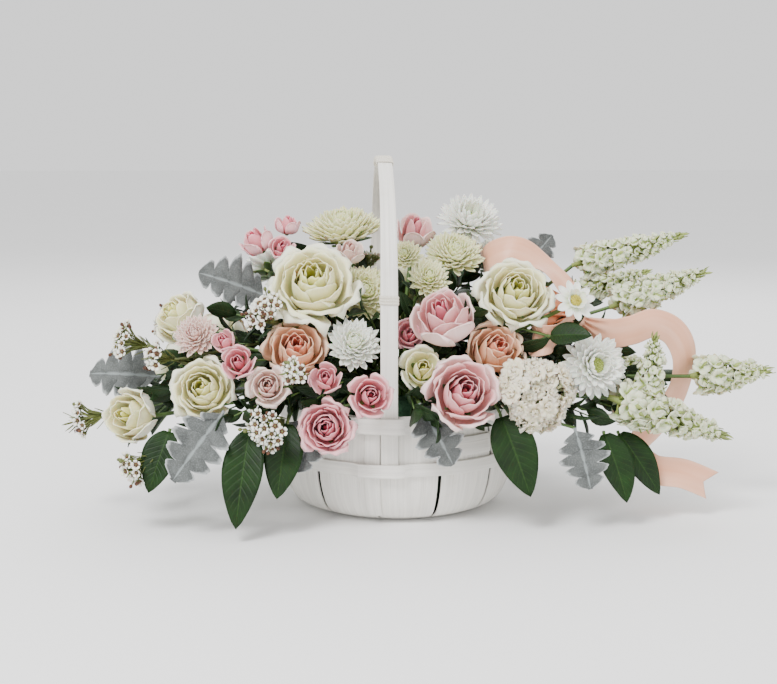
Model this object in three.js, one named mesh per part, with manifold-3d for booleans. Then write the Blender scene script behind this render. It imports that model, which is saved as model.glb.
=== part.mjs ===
// A round white splint basket with a hoop handle, filled with an oval, all-round arrangement of roses, spray
// roses, chrysanthemums, stock, white flower spikes, wax flower, dusty miller and broad leaves, with a ribbon bow.
// Millimetres, +Z up, -Y is the front. The origin is the centre of the basket's underside, on the table.
import * as THREE from "three";
import { ConvexGeometry } from "three/addons/geometries/ConvexGeometry.js";
import { mergeVertices } from "three/addons/utils/BufferGeometryUtils.js";
import Module from "manifold-3d";

const wasm = await Module();
wasm.setup();
const { Manifold, Mesh: SolidMesh } = wasm;

// ---------------------------------------------------------------- driving dimensions
const GAP = 0.4; // clearance between two pieces that touch

// Basket. Angles round it run in degrees from the front (-Y) towards +X.
const RIM_HEIGHT = 100;
const FLOOR_RADIUS = 80;
const BELLY_RADIUS = 112.5;
const MOUTH_RADIUS = 108;
const FLOOR_THICKNESS = 3;
const SPLINT_THICKNESS = 2;
const SPLINT_COUNT = 12;
const FIRST_SPLINT_ANGLE = 2;
const SPLINT_HALF_SPAN = 13.4;
const WALL_PROFILE = [
  [FLOOR_RADIUS, 0], [98, 8], [108.5, 27], [BELLY_RADIUS, 56], [MOUTH_RADIUS, RIM_HEIGHT],
];
const BAND = { low: 47, high: 59, thickness: 2 };
const WEAVER = { low: 63, high: 80, thickness: 1.6 };
const RIM = { low: 86, high: RIM_HEIGHT, thickness: 2.4 };

// Handle: one flat hoop that runs from front to back.
const HANDLE_X = -13;
const HANDLE_WIDTH = 15.5;
const HANDLE_THICKNESS = 3;
const HANDLE_FOOT = 48;
const HANDLE_SPRING = 222; // where the straight legs turn into the bow
const HANDLE_TOP = 329;
const HANDLE_REACH = 107; // half the distance between the legs at the spring line
const BINDING_HEIGHT = 205;
const HANDLE_ANGLE = -6.7; // where the front leg stands on the wall
const SLAT_ANGLE = -14.5; // the narrow slat beside it

// Inside
const LINER_PROFILE = [[0, 4], [73, 4], [91, 20], [98, 84], [96, 84], [89, 21], [72, 6], [0, 6]];
const FOAM_RADIUS = 72;
const FOAM_LOW = 6.5;
const FOAM_HIGH = 108;
const FORK_HEIGHT = 120; // where stems leave the upright
const STEM_RADIUS = 2.2;

// ---------------------------------------------------------------- colours
const finish = (color, roughness = 0.7) => new THREE.MeshStandardMaterial({ color, roughness, metalness: 0 });
const MATERIALS = {
  whitewash: finish(0xe9e4df, 0.6),
  reed: finish(0xefeae6, 0.6),
  liner: finish(0x2f4a35, 0.4),
  foam: finish(0x3d6b45, 0.95),
  stem: finish(0x4c6a36),
  cream: finish(0xede7cc),
  white: finish(0xeeece2),
  blush: finish(0xe3cdc0),
  pink: finish(0xdfa5a8),
  rosePink: finish(0xd98a9b),
  peach: finish(0xe6b49a),
  greenCream: finish(0xd9dcae),
  spike: finish(0xcdd0b0),
  wax: finish(0xe3dcc4),
  silver: finish(0x9aa3a3, 0.9),
  leaf: finish(0x2f5524, 0.45),
  ribbon: finish(0xeebfa3, 0.35),
};

// ---------------------------------------------------------------- small maths
const rad = THREE.MathUtils.degToRad;
const lerp = THREE.MathUtils.lerp;
const vec = (x, y, z) => new THREE.Vector3(x, y, z);
const onWall = (radius, degrees, z) => vec(radius * Math.sin(rad(degrees)), -radius * Math.cos(rad(degrees)), z);

function seeded(seed) {
  let state = seed >>> 0;
  return () => {
    state = (state + 0x6d2b79f5) >>> 0;
    let t = Math.imul(state ^ (state >>> 15), 1 | state);
    t = (t + Math.imul(t ^ (t >>> 7), 61 | t)) ^ t;
    return ((t ^ (t >>> 14)) >>> 0) / 4294967296;
  };
}

// ---------------------------------------------------------------- solids
function geometryOf(points, triangles) {
  const geometry = new THREE.BufferGeometry().setFromPoints(points);
  geometry.setIndex(triangles.flat());
  return geometry;
}

function solid(geometry) {
  const bare = geometry.clone();
  for (const name of Object.keys(bare.attributes)) if (name !== "position") bare.deleteAttribute(name);
  const merged = mergeVertices(bare, 1e-4);
  const build = (triVerts) => new Manifold(new SolidMesh({
    numProp: 3,
    vertProperties: new Float32Array(merged.attributes.position.array),
    triVerts,
  }));
  const triangles = new Uint32Array(merged.index.array);
  const made = build(triangles);
  return made.volume() < 0 ? build(triangles.toReversed()) : made;
}

function geometryFrom(made) {
  const { numProp, numVert, vertProperties, triVerts } = made.getMesh();
  const points = [];
  for (let i = 0; i < numVert; i++) points.push(vec(...vertProperties.subarray(i * numProp, i * numProp + 3)));
  const geometry = new THREE.BufferGeometry().setFromPoints(points);
  geometry.setIndex(new THREE.BufferAttribute(new Uint32Array(triVerts), 1));
  geometry.computeVertexNormals();
  return geometry;
}

const fuse = (list) => Manifold.union(list.flat(Infinity));

// Keeps the largest body, so that no scrap of a trimmed petal is left loose.
function largest(made) {
  const bodies = made.decompose();
  return bodies.reduce((best, body) => (body.volume() > best.volume() ? body : best), bodies[0]);
}

// Turns a ring's list of points so that it starts near where the ring before it starts.
function lineUp(ring, before) {
  if (ring.length < 3 || before.length < 3) return ring;
  const middle = (list) => list.reduce((sum, q) => sum.add(q), vec(0, 0, 0)).divideScalar(list.length);
  const [centre, centreBefore] = [middle(ring), middle(before)];
  const aim = before[0].clone().sub(centreBefore).normalize();
  const fit = ring.map((q) => q.clone().sub(centre).normalize().dot(aim));
  const start = fit.indexOf(Math.max(...fit));
  return [...ring.slice(start), ...ring.slice(0, start)];
}

// A closed skin over rings of points, which may differ in number; a ring of one point closes an end to a tip. The
// quads listed as flipped are split along their other diagonal, so that a thin blade is split alike on both faces.
function skin(rings, flipped = []) {
  const points = rings.flat();
  const triangles = [];
  let base = 0;
  for (let i = 0; i + 1 < rings.length; i++) {
    const [a, b] = [rings[i].length, rings[i + 1].length];
    const next = base + a;
    for (let p = 0, q = 0; p < a || q < b;) {
      if (a === b && p === q && flipped.includes(p)) {
        const [r, t] = [(p + 1) % a, (q + 1) % b];
        triangles.push([base + p, base + r, next + t], [base + p, next + t, next + q]);
        p++;
        q++;
        continue;
      }
      const stepLower = a > 1 && (b === 1 || q >= b || (p < a && (p + 0.5) / a <= (q + 0.5) / b));
      if (stepLower) triangles.push([base + p, base + ((p + 1) % a), next + (q % b)]);
      else triangles.push([base + (p % a), next + ((q + 1) % b), next + q]);
      if (stepLower) p++;
      else q++;
      if ((a === 1 && q >= b) || (b === 1 && p >= a)) break;
    }
    base = next;
  }
  const last = rings.at(-1).length;
  for (let j = 1; j + 1 < rings[0].length; j++) triangles.push([0, j + 1, j]);
  for (let j = 1; j + 1 < last; j++) triangles.push([base, base + j, base + j + 1]);
  return solid(geometryOf(points, triangles));
}

// A closed ring: cross-sections joined round to the first one again.
function hoop(sections) {
  const count = sections[0].length;
  const triangles = [];
  sections.forEach((_, i) => {
    const next = ((i + 1) % sections.length) * count;
    for (let j = 0; j < count; j++) {
      const k = (j + 1) % count;
      triangles.push([i * count + j, next + k, i * count + k], [i * count + j, next + j, next + k]);
    }
  });
  return solid(geometryOf(sections.flat(), triangles));
}

// The rings of a rod along a list of points, mitred at each bend.
function rodRings(path, radius, sides) {
  let side = null;
  return path.map((centre, i) => {
    const before = centre.clone().sub(path[Math.max(0, i - 1)]).normalize();
    const after = path[Math.min(path.length - 1, i + 1)].clone().sub(centre).normalize();
    const along = before.add(after).normalize();
    side ??= along.clone().cross(Math.abs(along.z) < 0.9 ? vec(0, 0, 1) : vec(1, 0, 0));
    side.addScaledVector(along, -side.dot(along)).normalize();
    const across = along.clone().cross(side);
    return Array.from({ length: sides }, (_, k) => {
      const turn = (2 * Math.PI * k) / sides;
      return centre.clone().addScaledVector(side, radius * Math.cos(turn)).addScaledVector(across, radius * Math.sin(turn));
    });
  });
}
const rod = (path, radius, sides = 4) => skin(rodRings(path, radius, sides));

const lathe = (profile, segments) => {
  const geometry = new THREE.LatheGeometry(profile.map(([r, z]) => new THREE.Vector2(r, z)), segments);
  const made = solid(geometry.rotateX(Math.PI / 2));
  return made;
};

// The pose of a head: its own +Z turned to face a direction, standing at a point.
function poseAt(position, face, roll = 0) {
  const z = face.clone().normalize();
  const x = (Math.abs(z.z) > 0.98 ? vec(1, 0, 0) : vec(0, 0, 1)).cross(z).normalize();
  const y = z.clone().cross(x);
  return new THREE.Matrix4().makeBasis(x, y, z).multiply(new THREE.Matrix4().makeRotationZ(roll)).setPosition(position);
}
const put = (made, pose) => made.transform(pose.elements);

// ---------------------------------------------------------------- basket
const wallPoint = (degrees, [radius, z], depth) => onWall(radius - depth, degrees, z);

// A curved slat that follows the wall's profile between two angles. Each ring starts in the middle of the outer face,
// so that the ends are closed by triangles that stay inside the slat's crescent.
function wallSlat(from, to, profile, outset, thickness) {
  const middle = (from + to) / 2;
  const inset = thickness - outset;
  return skin(profile.map((p) => [
    wallPoint(middle, p, -outset), wallPoint(to, p, -outset), wallPoint(to, p, inset),
    wallPoint(middle, p, inset), wallPoint(from, p, inset), wallPoint(from, p, -outset),
  ]));
}

function basketSplints() {
  const floor = lathe([[0, 0], [FLOOR_RADIUS + 2, 0], [FLOOR_RADIUS + 4, FLOOR_THICKNESS], [0, FLOOR_THICKNESS]], 12);
  const slats = Array.from({ length: SPLINT_COUNT }, (_, k) => {
    const middle = FIRST_SPLINT_ANGLE + (360 / SPLINT_COUNT) * k;
    return wallSlat(middle - SPLINT_HALF_SPAN, middle + SPLINT_HALF_SPAN, WALL_PROFILE, 0, SPLINT_THICKNESS);
  });
  return fuse([floor, slats]);
}

// The narrow slat beside each leg lies on the wall, under the band and the rim.
const basketSlat = (angle) => wallSlat(angle - 3.6, angle + 3.6, WALL_PROFILE.slice(1), GAP + 1.6, 1.6);

// Where the band and the rim pass over a leg and its slat, they stand out by this much.
function legBulge(degrees) {
  const middle = (HANDLE_ANGLE + SLAT_ANGLE) / 2;
  const off = Math.min(Math.abs(degrees - 360 - middle), Math.abs(degrees - 180 + middle));
  return off < 10 ? HANDLE_THICKNESS + 6 * GAP : 0;
}
const ROUND_ANGLES = Array.from({ length: 24 }, (_, k) => FIRST_SPLINT_ANGLE + 15 * k);
const BULGE_ANGLES = [-23, -19.5, -10.5, -1.5, 2].flatMap((a) => [a, 180 - a]);
const HOOP_ANGLES = [...ROUND_ANGLES.filter((a) => Math.min(Math.abs(a - 349.5), Math.abs(a - 190.5), a + 10.5) > 16), ...BULGE_ANGLES]
  .map((a) => (a + 360) % 360).sort((a, b) => a - b);

const wallRadius = (z) => {
  const i = Math.max(1, WALL_PROFILE.findIndex((p) => p[1] >= z));
  const [[r0, z0], [r1, z1]] = [WALL_PROFILE[i - 1], WALL_PROFILE[i]];
  return lerp(r0, r1, (z - z0) / (z1 - z0));
};

function flatHoop({ low, high, thickness }, inner, angles = HOOP_ANGLES) {
  return hoop(angles.map((a) => {
    const r = inner(a);
    return [onWall(r, a, low), onWall(r + thickness, a, low), onWall(r + thickness, a, high), onWall(r, a, high)];
  }));
}

const basketBand = () => flatHoop(BAND, (a) => BELLY_RADIUS + 2 * GAP + legBulge(a));
const basketRimOuter = () => flatHoop(RIM, (a) => wallRadius(RIM.low) + 2.5 * GAP + legBulge(a));
const basketRimInner = () => flatHoop({ ...RIM, low: RIM.low + 2 },
  () => MOUTH_RADIUS - SPLINT_THICKNESS - RIM.thickness - 2.2 * GAP, ROUND_ANGLES);

// One flat weaver passes outside one splint and inside the next.
function basketWeaver() {
  const sections = [];
  for (let k = 0; k < SPLINT_COUNT; k++) {
    const middle = FIRST_SPLINT_ANGLE + (360 / SPLINT_COUNT) * k;
    const outside = k % 2 === 1 && k !== SPLINT_COUNT - 1; // inside behind the leg's slat
    for (const offset of [-SPLINT_HALF_SPAN, 0, SPLINT_HALF_SPAN]) {
      const at = (z) => wallRadius(z) + (outside ? GAP : -SPLINT_THICKNESS - GAP - WEAVER.thickness) + (outside ? 0.3 : -0.9);
      const [lowR, highR] = [at(WEAVER.low), at(WEAVER.high)];
      const a = middle + offset * (outside ? 1.06 : 1);
      sections.push([
        onWall(lowR, a, WEAVER.low), onWall(lowR + WEAVER.thickness, a, WEAVER.low),
        onWall(highR + WEAVER.thickness, a, WEAVER.high), onWall(highR, a, WEAVER.high),
      ]);
    }
  }
  return hoop(sections);
}

// ---------------------------------------------------------------- handle
// The hoop's middle line in its own plane: distance along Y and height, for both legs and the bow between.
function handleLine() {
  const legs = [
    [wallRadius(HANDLE_FOOT) + 2.2, HANDLE_FOOT], [BELLY_RADIUS + 2.2, 60], [wallRadius(80) + 2.2, 80],
    [MOUTH_RADIUS + 2.6, RIM_HEIGHT + 2], [HANDLE_REACH + 1, 160],
  ];
  const bow = Array.from({ length: 11 }, (_, k) => {
    const turn = (Math.PI * k) / 10;
    return [HANDLE_REACH * Math.cos(turn), HANDLE_SPRING + (HANDLE_TOP - HANDLE_THICKNESS / 2 - HANDLE_SPRING) * Math.sin(turn)];
  });
  return [...legs.map(([y, z]) => [-y, z]), ...bow.map(([y, z]) => [-y, z]), ...legs.toReversed()];
}

function handleSweep(line, width, thickness) {
  const rings = line.map(([y, z], i) => {
    const [y0, z0] = line[Math.max(0, i - 1)];
    const [y1, z1] = line[Math.min(line.length - 1, i + 1)];
    const length = Math.hypot(y1 - y0, z1 - z0);
    const normal = vec(0, -(z1 - z0) / length, (y1 - y0) / length); // away from the hoop's inside
    const taper = lerp(1, 0.86, THREE.MathUtils.smoothstep(z, BINDING_HEIGHT, HANDLE_TOP));
    const half = (width * taper) / 2;
    const t = thickness / 2;
    return [[half, -t], [half, t], [-half, t], [-half, -t]]
      .map(([x, n]) => vec(HANDLE_X + x, y, z).addScaledVector(normal, n));
  });
  return skin(rings);
}

const handle = () => handleSweep(handleLine(), HANDLE_WIDTH, HANDLE_THICKNESS);

// A reed bound round the hoop: a sleeve over the stretch between two points of its line.
function handleSleeve(points, cover) {
  const inner = 2 * GAP;
  const [first, last] = [points[0], points.at(-1)];
  const stretch = (a, b) => [a[0] + (a[0] - b[0]) * 0.2, a[1] + (a[1] - b[1]) * 0.2];
  const bore = [stretch(first, points[1]), ...points, stretch(last, points.at(-2))];
  return handleSweep(points, HANDLE_WIDTH + inner + 2 * cover, HANDLE_THICKNESS + inner + 2 * cover)
    .subtract(handleSweep(bore, HANDLE_WIDTH + inner, HANDLE_THICKNESS + inner));
}
function legBinding(side) {
  const [low, high] = [BINDING_HEIGHT - 5.5, BINDING_HEIGHT + 5.5];
  const yAt = (z) => side * lerp(HANDLE_REACH + 1, HANDLE_REACH, (z - 160) / (HANDLE_SPRING - 160));
  const points = [low, high].map((z) => [yAt(z), z]);
  return handleSleeve(side < 0 ? points : points.toReversed(), 1);
}
const gripWrap = () => handleSleeve(handleLine().slice(9, 12), 1.2);

// ---------------------------------------------------------------- flower heads, each with its foot at 0 and facing +Z
// A rose: scalloped cups of petals one inside the other, each turned half a petal, round a sunk heart. Each ring of
// points has two shoulders and a notch to a petal on a large rose, and a tip and a notch on a small one.
function roseHead({ radius, open, lobes = 5, cups = 4, broad = true, seed = 1 }) {
  const random = seeded(seed);
  const height = roseHeight({ radius, open });
  const perLobe = broad ? 3 : 2;
  const count = lobes * perLobe;
  const ring = (shift, r, z, wave, dip, ruffle) => {
    const lift = Array.from({ length: lobes }, () => (random() - 0.5) * ruffle);
    return Array.from({ length: count }, (_, j) => {
      const notch = j % perLobe === 0;
      const turn = ((2 * Math.PI) / lobes) * (Math.floor(j / perLobe) + [0, broad ? 0.24 : 0.5, 0.76][j % perLobe] + shift);
      const out = r * (notch ? 1 - wave : 1 + 0.5 * lift[Math.floor(j / perLobe)]);
      return vec(out * Math.cos(turn), out * Math.sin(turn), z - (notch ? dip : -lift[Math.floor(j / perLobe)] * height));
    });
  };
  const wave = lerp(0.1, 0.17, open);
  let foot = { r: lerp(0.62, 0.72, open) * radius, z: 0.24 * height };
  let notch = null; // the lowest point between two petals of the cup outside
  const rows = [ring(0, foot.r, foot.z, 0.02, 0, 0)];
  for (let k = 0; k < cups; k++) {
    const q = k / cups;
    const lip = radius * lerp(1, 0.16, q ** lerp(1.1, 0.9, open)) * (k === 0 ? 1 : lerp(0.92, 1, open));
    const z = height * lerp(lerp(0.84, 0.6, open), 1, q ** 0.8);
    const shift = 0.5 * (k % 2) + 0.06 * k;
    if (k > 0) {
      const low = Math.max(z - lerp(0.3, 0.42, open) * height * (1 - 0.5 * q), foot.z + 0.08 * height);
      const room = lerp(foot.r, notch.r, THREE.MathUtils.clamp((low - foot.z) / (notch.z - foot.z), 0, 1));
      foot = { r: Math.min(lip * 1.08, 0.88 * room), z: low };
      rows.push(ring(shift, foot.r, low, 0.02, 0, 0));
    }
    const dip = 0.14 * height * (1 - 0.4 * q);
    notch = { r: lip * (1 - wave), z: z - dip };
    rows.push(ring(shift, lip, z, wave, dip, 0.09 * open));
  }
  return { rings: [...rows, [vec(0, 0, 0.8 * height)]] };
}
const sprayHead = (head) => roseHead({ cups: 3, ...head, broad: false });
const roseHeight = ({ radius, open }) => radius * lerp(1.55, 0.95, open);

// A dense double bloom: collars of pointed florets stacked on a dome, each collar turned half a step.
function collarHead({ radius, height = 0.75 * radius, tips = 8, rings = 3, notch = 0.74, ruffle = 0.12, seed = 1 }) {
  const random = seeded(seed);
  const rows = [];
  for (let k = 0; k < rings; k++) {
    const climb = lerp(-0.12, 1.32, k / Math.max(1, rings - 0.4));
    const r = radius * Math.cos(climb);
    const z = height * (0.25 + 0.75 * Math.sin(Math.max(0, climb)));
    const at = (j, out, up) => {
      const turn = (Math.PI * (j + (k % 2))) / tips;
      return vec(r * out * Math.cos(turn), r * out * Math.sin(turn), up);
    };
    const turns = Array.from({ length: 2 * tips }, (_, j) => j);
    rows.push(turns.map((j) => at(j, notch - 0.1, z - 0.13 * height)));
    rows.push(turns.map((j) => (j % 2
      ? at(j, notch, z)
      : at(j, 1 + ruffle * (random() - 0.5), z + (0.8 * ruffle + 0.02) * height * random()))));
    if (k % 2) rows.slice(-2).forEach((row) => row.unshift(row.pop()));
  }
  return { rings: [...rows, [vec(0, 0, height * 1.02)]] };
}

// A narrow petal, widest past its middle, from a foot along a direction.
function spear(foot, along, side, length, width, thickness) {
  const up = along.clone().cross(side).normalize();
  const waist = foot.clone().addScaledVector(along, length * 0.62);
  const ring = [[width / 2, 0], [0, thickness * 0.7], [-width / 2, 0], [0, -thickness * 0.3]]
    .map(([s, t]) => waist.clone().addScaledVector(side, s).addScaledVector(up, t));
  const tip = foot.clone().addScaledVector(along, length);
  return skin([[foot], ring, [tip]]);
}

// A loose bloom with separate rays in tiers round a small dome.
function rayHead({ radius, tiers, width, seed = 1 }) {
  const random = seeded(seed);
  const round = (r, z) => Array.from({ length: 7 }, (_, j) => {
    const turn = (2 * Math.PI * j) / 7;
    return vec(r * Math.cos(turn), r * Math.sin(turn), z);
  });
  const rings = [round(0.2 * radius, 0.06 * radius), round(0.25 * radius, 0.24 * radius), [vec(0, 0, 0.4 * radius)]];
  const rays = tiers.flatMap(({ count, climb, reach }, tier) => Array.from({ length: count }, (_, i) => {
    const turn = (2 * Math.PI * (i + 0.5 * (tier % 2) + 0.15 * random())) / count;
    const rise = rad(climb) + 0.12 * (random() - 0.5);
    const along = vec(Math.cos(turn) * Math.cos(rise), Math.sin(turn) * Math.cos(rise), Math.sin(rise));
    const side = vec(-Math.sin(turn), Math.cos(turn), 0);
    const foot = vec(0, 0, 0.17 * radius).addScaledVector(along, 0.17 * radius);
    return spear(foot, along, side, radius * (reach * (0.94 + 0.1 * random()) - 0.17), width, 0.42 * width);
  }));
  return { rings, rays };
}
// A small open cup flower at the end of its own stalk, with its middle sunk.
function floret(radius, foot) {
  const around = (count, r, z) => Array.from({ length: count }, (_, j) => {
    const turn = (2 * Math.PI * j) / count;
    return vec(r * Math.cos(turn), r * Math.sin(turn), z);
  });
  const neck = -0.7 * radius;
  return skin([[foot], around(3, 1.2, neck), around(5, radius, 0.14 * radius), [vec(0, 0, neck + 0.5 * radius)]]);
}

// A flower spike: small florets in collars up a slim stem, shrinking to green tips.
function spikeHead({ length, radius, collars = 6, tips = 4, seed = 1 }) {
  const random = seeded(seed);
  const rings = [];
  for (let k = 0; k < collars; k++) {
    const s = (k + 0.2) / collars;
    const r = radius * (k === 0 ? 0.8 : 1) * (1 - 0.6 * s ** 1.7);
    const turns = Array.from({ length: 2 * tips }, (_, j) => (Math.PI * (j + (k % 2))) / tips);
    const ring = (out, up) => turns.map((turn, j) => vec(r * out(j) * Math.cos(turn), r * out(j) * Math.sin(turn), up(j)));
    rings.push(ring(() => 0.5, () => length * s));
    rings.push(ring(
      (j) => (j % 2 ? 0.62 : 0.92 + 0.22 * random()),
      (j) => length * (s + (j % 2 ? 0.45 : 0.62 + 0.2 * random()) / collars),
    ));
    if (k % 2) rings.slice(-2).forEach((row) => row.unshift(row.pop()));
  }
  return { rings: [...rings, [vec(0, 0, length)]] };
}

// ---------------------------------------------------------------- leaves
// A leaf on its own line from foot to tip, drooping towards the tip and folded up along its edges. A lobed leaf is
// cut in by deep steps. Each ring is its left edge, upper face, right edge and underside.
const LEAF_THICKNESS = 1.8;
const BLADE_FLIPS = [0, 2];
function leafHead({ foot, tip, up, width, lobed }) {
  const steps = lobed ? 7 : 4;
  const along = tip.clone().sub(foot);
  const length = along.length();
  along.normalize();
  const side = along.clone().cross(up).normalize();
  const normal = side.clone().cross(along);
  const droop = 0.16 * length;
  const fold = lobed ? 0.1 : 0.22;
  const rings = Array.from({ length: steps }, (_, step) => {
    const v = step / steps;
    const full = Math.sin(Math.PI * v ** 0.8) ** 0.75;
    const lobe = lobed && step % 2;
    const half = step === 0 ? 1.2 : (width / 2) * full * (lobed && !lobe ? 0.42 : 1);
    const place = (u, thick) => foot.clone()
      .addScaledVector(along, length * (v + (lobe && u ? 0.55 / steps : 0)))
      .addScaledVector(side, half * u)
      .addScaledVector(normal, droop * (0.3 - v * v) + fold * half * Math.abs(u) + (lobe ? 0.04 * width : 0) + thick);
    return [place(-1, 0), place(0, LEAF_THICKNESS / 2), place(1, 0), place(0, -LEAF_THICKNESS / 2)];
  });
  const end = tip.clone().addScaledVector(normal, -0.7 * droop);
  return { rings: [...rings, [end]], isLeaf: true, root: foot.clone().addScaledVector(normal, 0.3 * droop).addScaledVector(along, -3) };
}

// ---------------------------------------------------------------- the arrangement
// A head is given by its middle, the way it faces, and its size. Without a face it looks outwards from the mound.
const MOUND = { centre: vec(0, 0, 88), reach: vec(330, 150, 190) };
function outwards(p) {
  const d = p.clone().sub(MOUND.centre).divide(MOUND.reach).divide(MOUND.reach);
  return d.normalize();
}

const rose = (at, radius, open, more = {}) => ({ kind: "rose", at, radius, open, ...more });
const spray = (at, radius, open, more = {}) => ({ kind: "spray", at, radius, open, ...more });
const collar = (at, radius, more = {}) => ({ kind: "collar", at, radius, ...more });
const rays = (at, radius, more = {}) => ({ kind: "rays", at, radius, ...more });

const BLOOMS = {
  // front, left to right
  rose_cream_far_left: { finish: "cream", heads: [spray([-247, -88, 101], 26, 0.2, { cups: 4, face: [-0.45, -0.75, 0.25] })] },
  rose_white_upper_left: { finish: "cream", heads: [spray([-205, -58, 188], 26, 0.4, { cups: 4, face: [-0.62, -0.5, 0.6] })] },
  rose_cream_left: { finish: "cream", heads: [spray([-178, -116, 130], 30, 0.7, { cups: 4, face: [-0.15, -0.85, 0.4] })] },
  rose_cream_open: { finish: "cream", heads: [rose([-80, -84, 221], 43, 0.95, { face: [-0.05, -0.78, 0.62], cups: 5 })] },
  rose_peach_left: { finish: "peach", heads: [spray([-95, -103, 163], 30, 0.5, { cups: 4, face: [0.05, -0.8, 0.55] })] },
  rose_pink_upper: { finish: "pink", heads: [rose([35, -98, 192], 30, 0.25, { face: [-0.25, -0.55, 0.75] })] },
  rose_pink_front: { finish: "pink", heads: [rose([51, -140, 129], 34, 0.55, { face: [0.1, -0.85, 0.42] })] },
  rose_peach_right: { finish: "peach", heads: [spray([85, -94, 160], 28, 0.45, { cups: 4, face: [0.2, -0.75, 0.5] })] },
  rose_cream_small: { finish: "cream", heads: [spray([17, -108, 145], 22, 0.6, { face: [0.0, -0.85, 0.4], cups: 3 })] },
  rose_cream_right: { finish: "cream", heads: [rose([104, -78, 210], 36, 0.8, { face: [0.05, -0.82, 0.55], cups: 5 })] },
  rose_pink_top: { finish: "pink", heads: [spray([17, -12, 264], 20, 0.15, { face: [0.15, -0.45, 0.88] })] },
  rose_dusty_top: { finish: "blush", heads: [spray([-45, -38, 245], 14, 0.2, { face: [0.1, -0.5, 0.8], lobes: 4 })] },
  spray_roses_front: { finish: "rosePink", heads: [
    spray([-70, -148, 100], 25, 0.75, { face: [-0.1, -0.93, 0.25] }),
    spray([-31, -150, 128], 20, 0.7, { face: [0.1, -0.93, 0.3] }),
    spray([-70, -134, 141], 15, 0.3, { face: [-0.05, -0.85, 0.5], lobes: 4 }),
  ] },
  spray_roses_left: { finish: "rosePink", heads: [
    spray([-146, -128, 155], 16, 0.4, { face: [-0.15, -0.85, 0.45], lobes: 4 }),
    spray([-159, -116, 172], 11, 0.15, { face: [-0.3, -0.75, 0.6], lobes: 4, cups: 2 }),
  ] },
  spray_rose_middle: { finish: "rosePink", heads: [spray([6, -86, 173], 15, 0.5, { face: [0, -0.85, 0.45], lobes: 4 })] },
  spray_rose_white: { finish: "blush", heads: [spray([-120, -136, 135], 19, 0.9, { face: [-0.05, -0.9, 0.35], cups: 4 })] },
  spray_buds_top: { finish: "rosePink", heads: [
    spray([-134, -30, 255], 16, 0.1, { face: [-0.45, -0.25, 0.7], lobes: 4 }),
    spray([-103, -18, 269], 12, 0.1, { face: [0.1, -0.15, 0.95], lobes: 4, cups: 2 }),
    spray([-108, -40, 248], 13, 0.5, { face: [0.1, -0.7, 0.6], lobes: 4, cups: 2 }),
  ] },
  carnation_blush: { finish: "blush", heads: [collar([-184, -93, 173], 20, { height: 17, tips: 8, rings: 3, face: [-0.2, -0.8, 0.5] })] },
  mum_green_top: { finish: "greenCream", heads: [collar([-51, 14, 260], 36, { height: 24, tips: 10, rings: 4, face: [-0.1, -0.25, 0.95] })] },
  mum_cream_middle: { finish: "greenCream", heads: [collar([-33, -48, 206], 26, { height: 22, tips: 8, rings: 3, face: [0.1, -0.85, 0.5] })] },
  mum_white_low: { finish: "white", heads: [collar([-44, -100, 165], 24, { height: 20, tips: 8, rings: 3, face: [0.15, -0.8, 0.6] })] },
  mum_spider_top: { finish: "white", heads: [rays([70, 0, 270], 33, { face: [0.15, -0.55, 0.8], width: 7.5,
    tiers: [{ count: 9, climb: 12, reach: 1 }, { count: 7, climb: 38, reach: 0.94 }, { count: 4, climb: 66, reach: 0.8 }] })] },
  mum_cluster_green: { finish: "greenCream", heads: [
    collar([52, -34, 240], 27, { height: 20, tips: 8, rings: 3, face: [0.1, -0.6, 0.8] }),
    collar([26, -60, 220], 19, { height: 16, tips: 6, rings: 2, face: [0, -0.8, 0.6] }),
    collar([5, -46, 240], 16, { height: 13, tips: 6, rings: 2, face: [-0.1, -0.75, 0.65] }),
  ] },
  mum_white_right: { finish: "white", heads: [rays([174, -97, 144], 32, { face: [0.25, -0.9, 0.25], width: 9,
    tiers: [{ count: 10, climb: 8, reach: 1 }, { count: 7, climb: 36, reach: 0.9 }, { count: 4, climb: 64, reach: 0.72 }] })] },
  daisy_right: { finish: "white", heads: [rays([155, -96, 203], 20, { face: [0.2, -0.85, 0.5], width: 7,
    tiers: [{ count: 8, climb: 10, reach: 1 }, { count: 4, climb: 45, reach: 0.7 }] })] },
  stock_white: { finish: "white", heads: [collar([119, -120, 122], 36, { height: 27, tips: 7, rings: 4, ruffle: 0.3, notch: 0.7,
    face: [0.2, -0.9, 0.2] })] },
  // back, left to right
  roses_cream_back_left: { finish: "cream", heads: [
    spray([-176, 84, 150], 30, 0.7, { cups: 4 }), spray([-222, 52, 128], 22, 0.4),
  ] },
  roses_pink_back: { finish: "pink", heads: [
    spray([-92, 112, 178], 32, 0.6, { cups: 4 }), spray([-54, 92, 216], 22, 0.3),
  ] },
  roses_cream_back: { finish: "cream", heads: [
    spray([26, 104, 206], 33, 0.72, { cups: 4 }), spray([10, 132, 158], 22, 0.6),
  ] },
  roses_peach_back: { finish: "peach", heads: [
    spray([112, 98, 168], 30, 0.5, { cups: 4 }), spray([62, 120, 172], 19, 0.4, { lobes: 4 }),
  ] },
  mum_white_back_left: { finish: "white", heads: [collar([-118, 60, 222], 30, { height: 20, tips: 7 })] },
  mums_green_back: { finish: "greenCream", heads: [
    collar([-34, 136, 138], 31, { height: 20, tips: 7 }), collar([-88, 130, 122], 20, { height: 15, tips: 6, rings: 2 }),
  ] },
  mum_white_back_right: { finish: "white", heads: [collar([98, 44, 228], 30, { height: 20, tips: 7 })] },
  spray_roses_back: { finish: "rosePink", heads: [
    spray([58, 138, 130], 23, 0.7), spray([98, 130, 112], 20, 0.5, { lobes: 4 }),
  ] },
};

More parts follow.
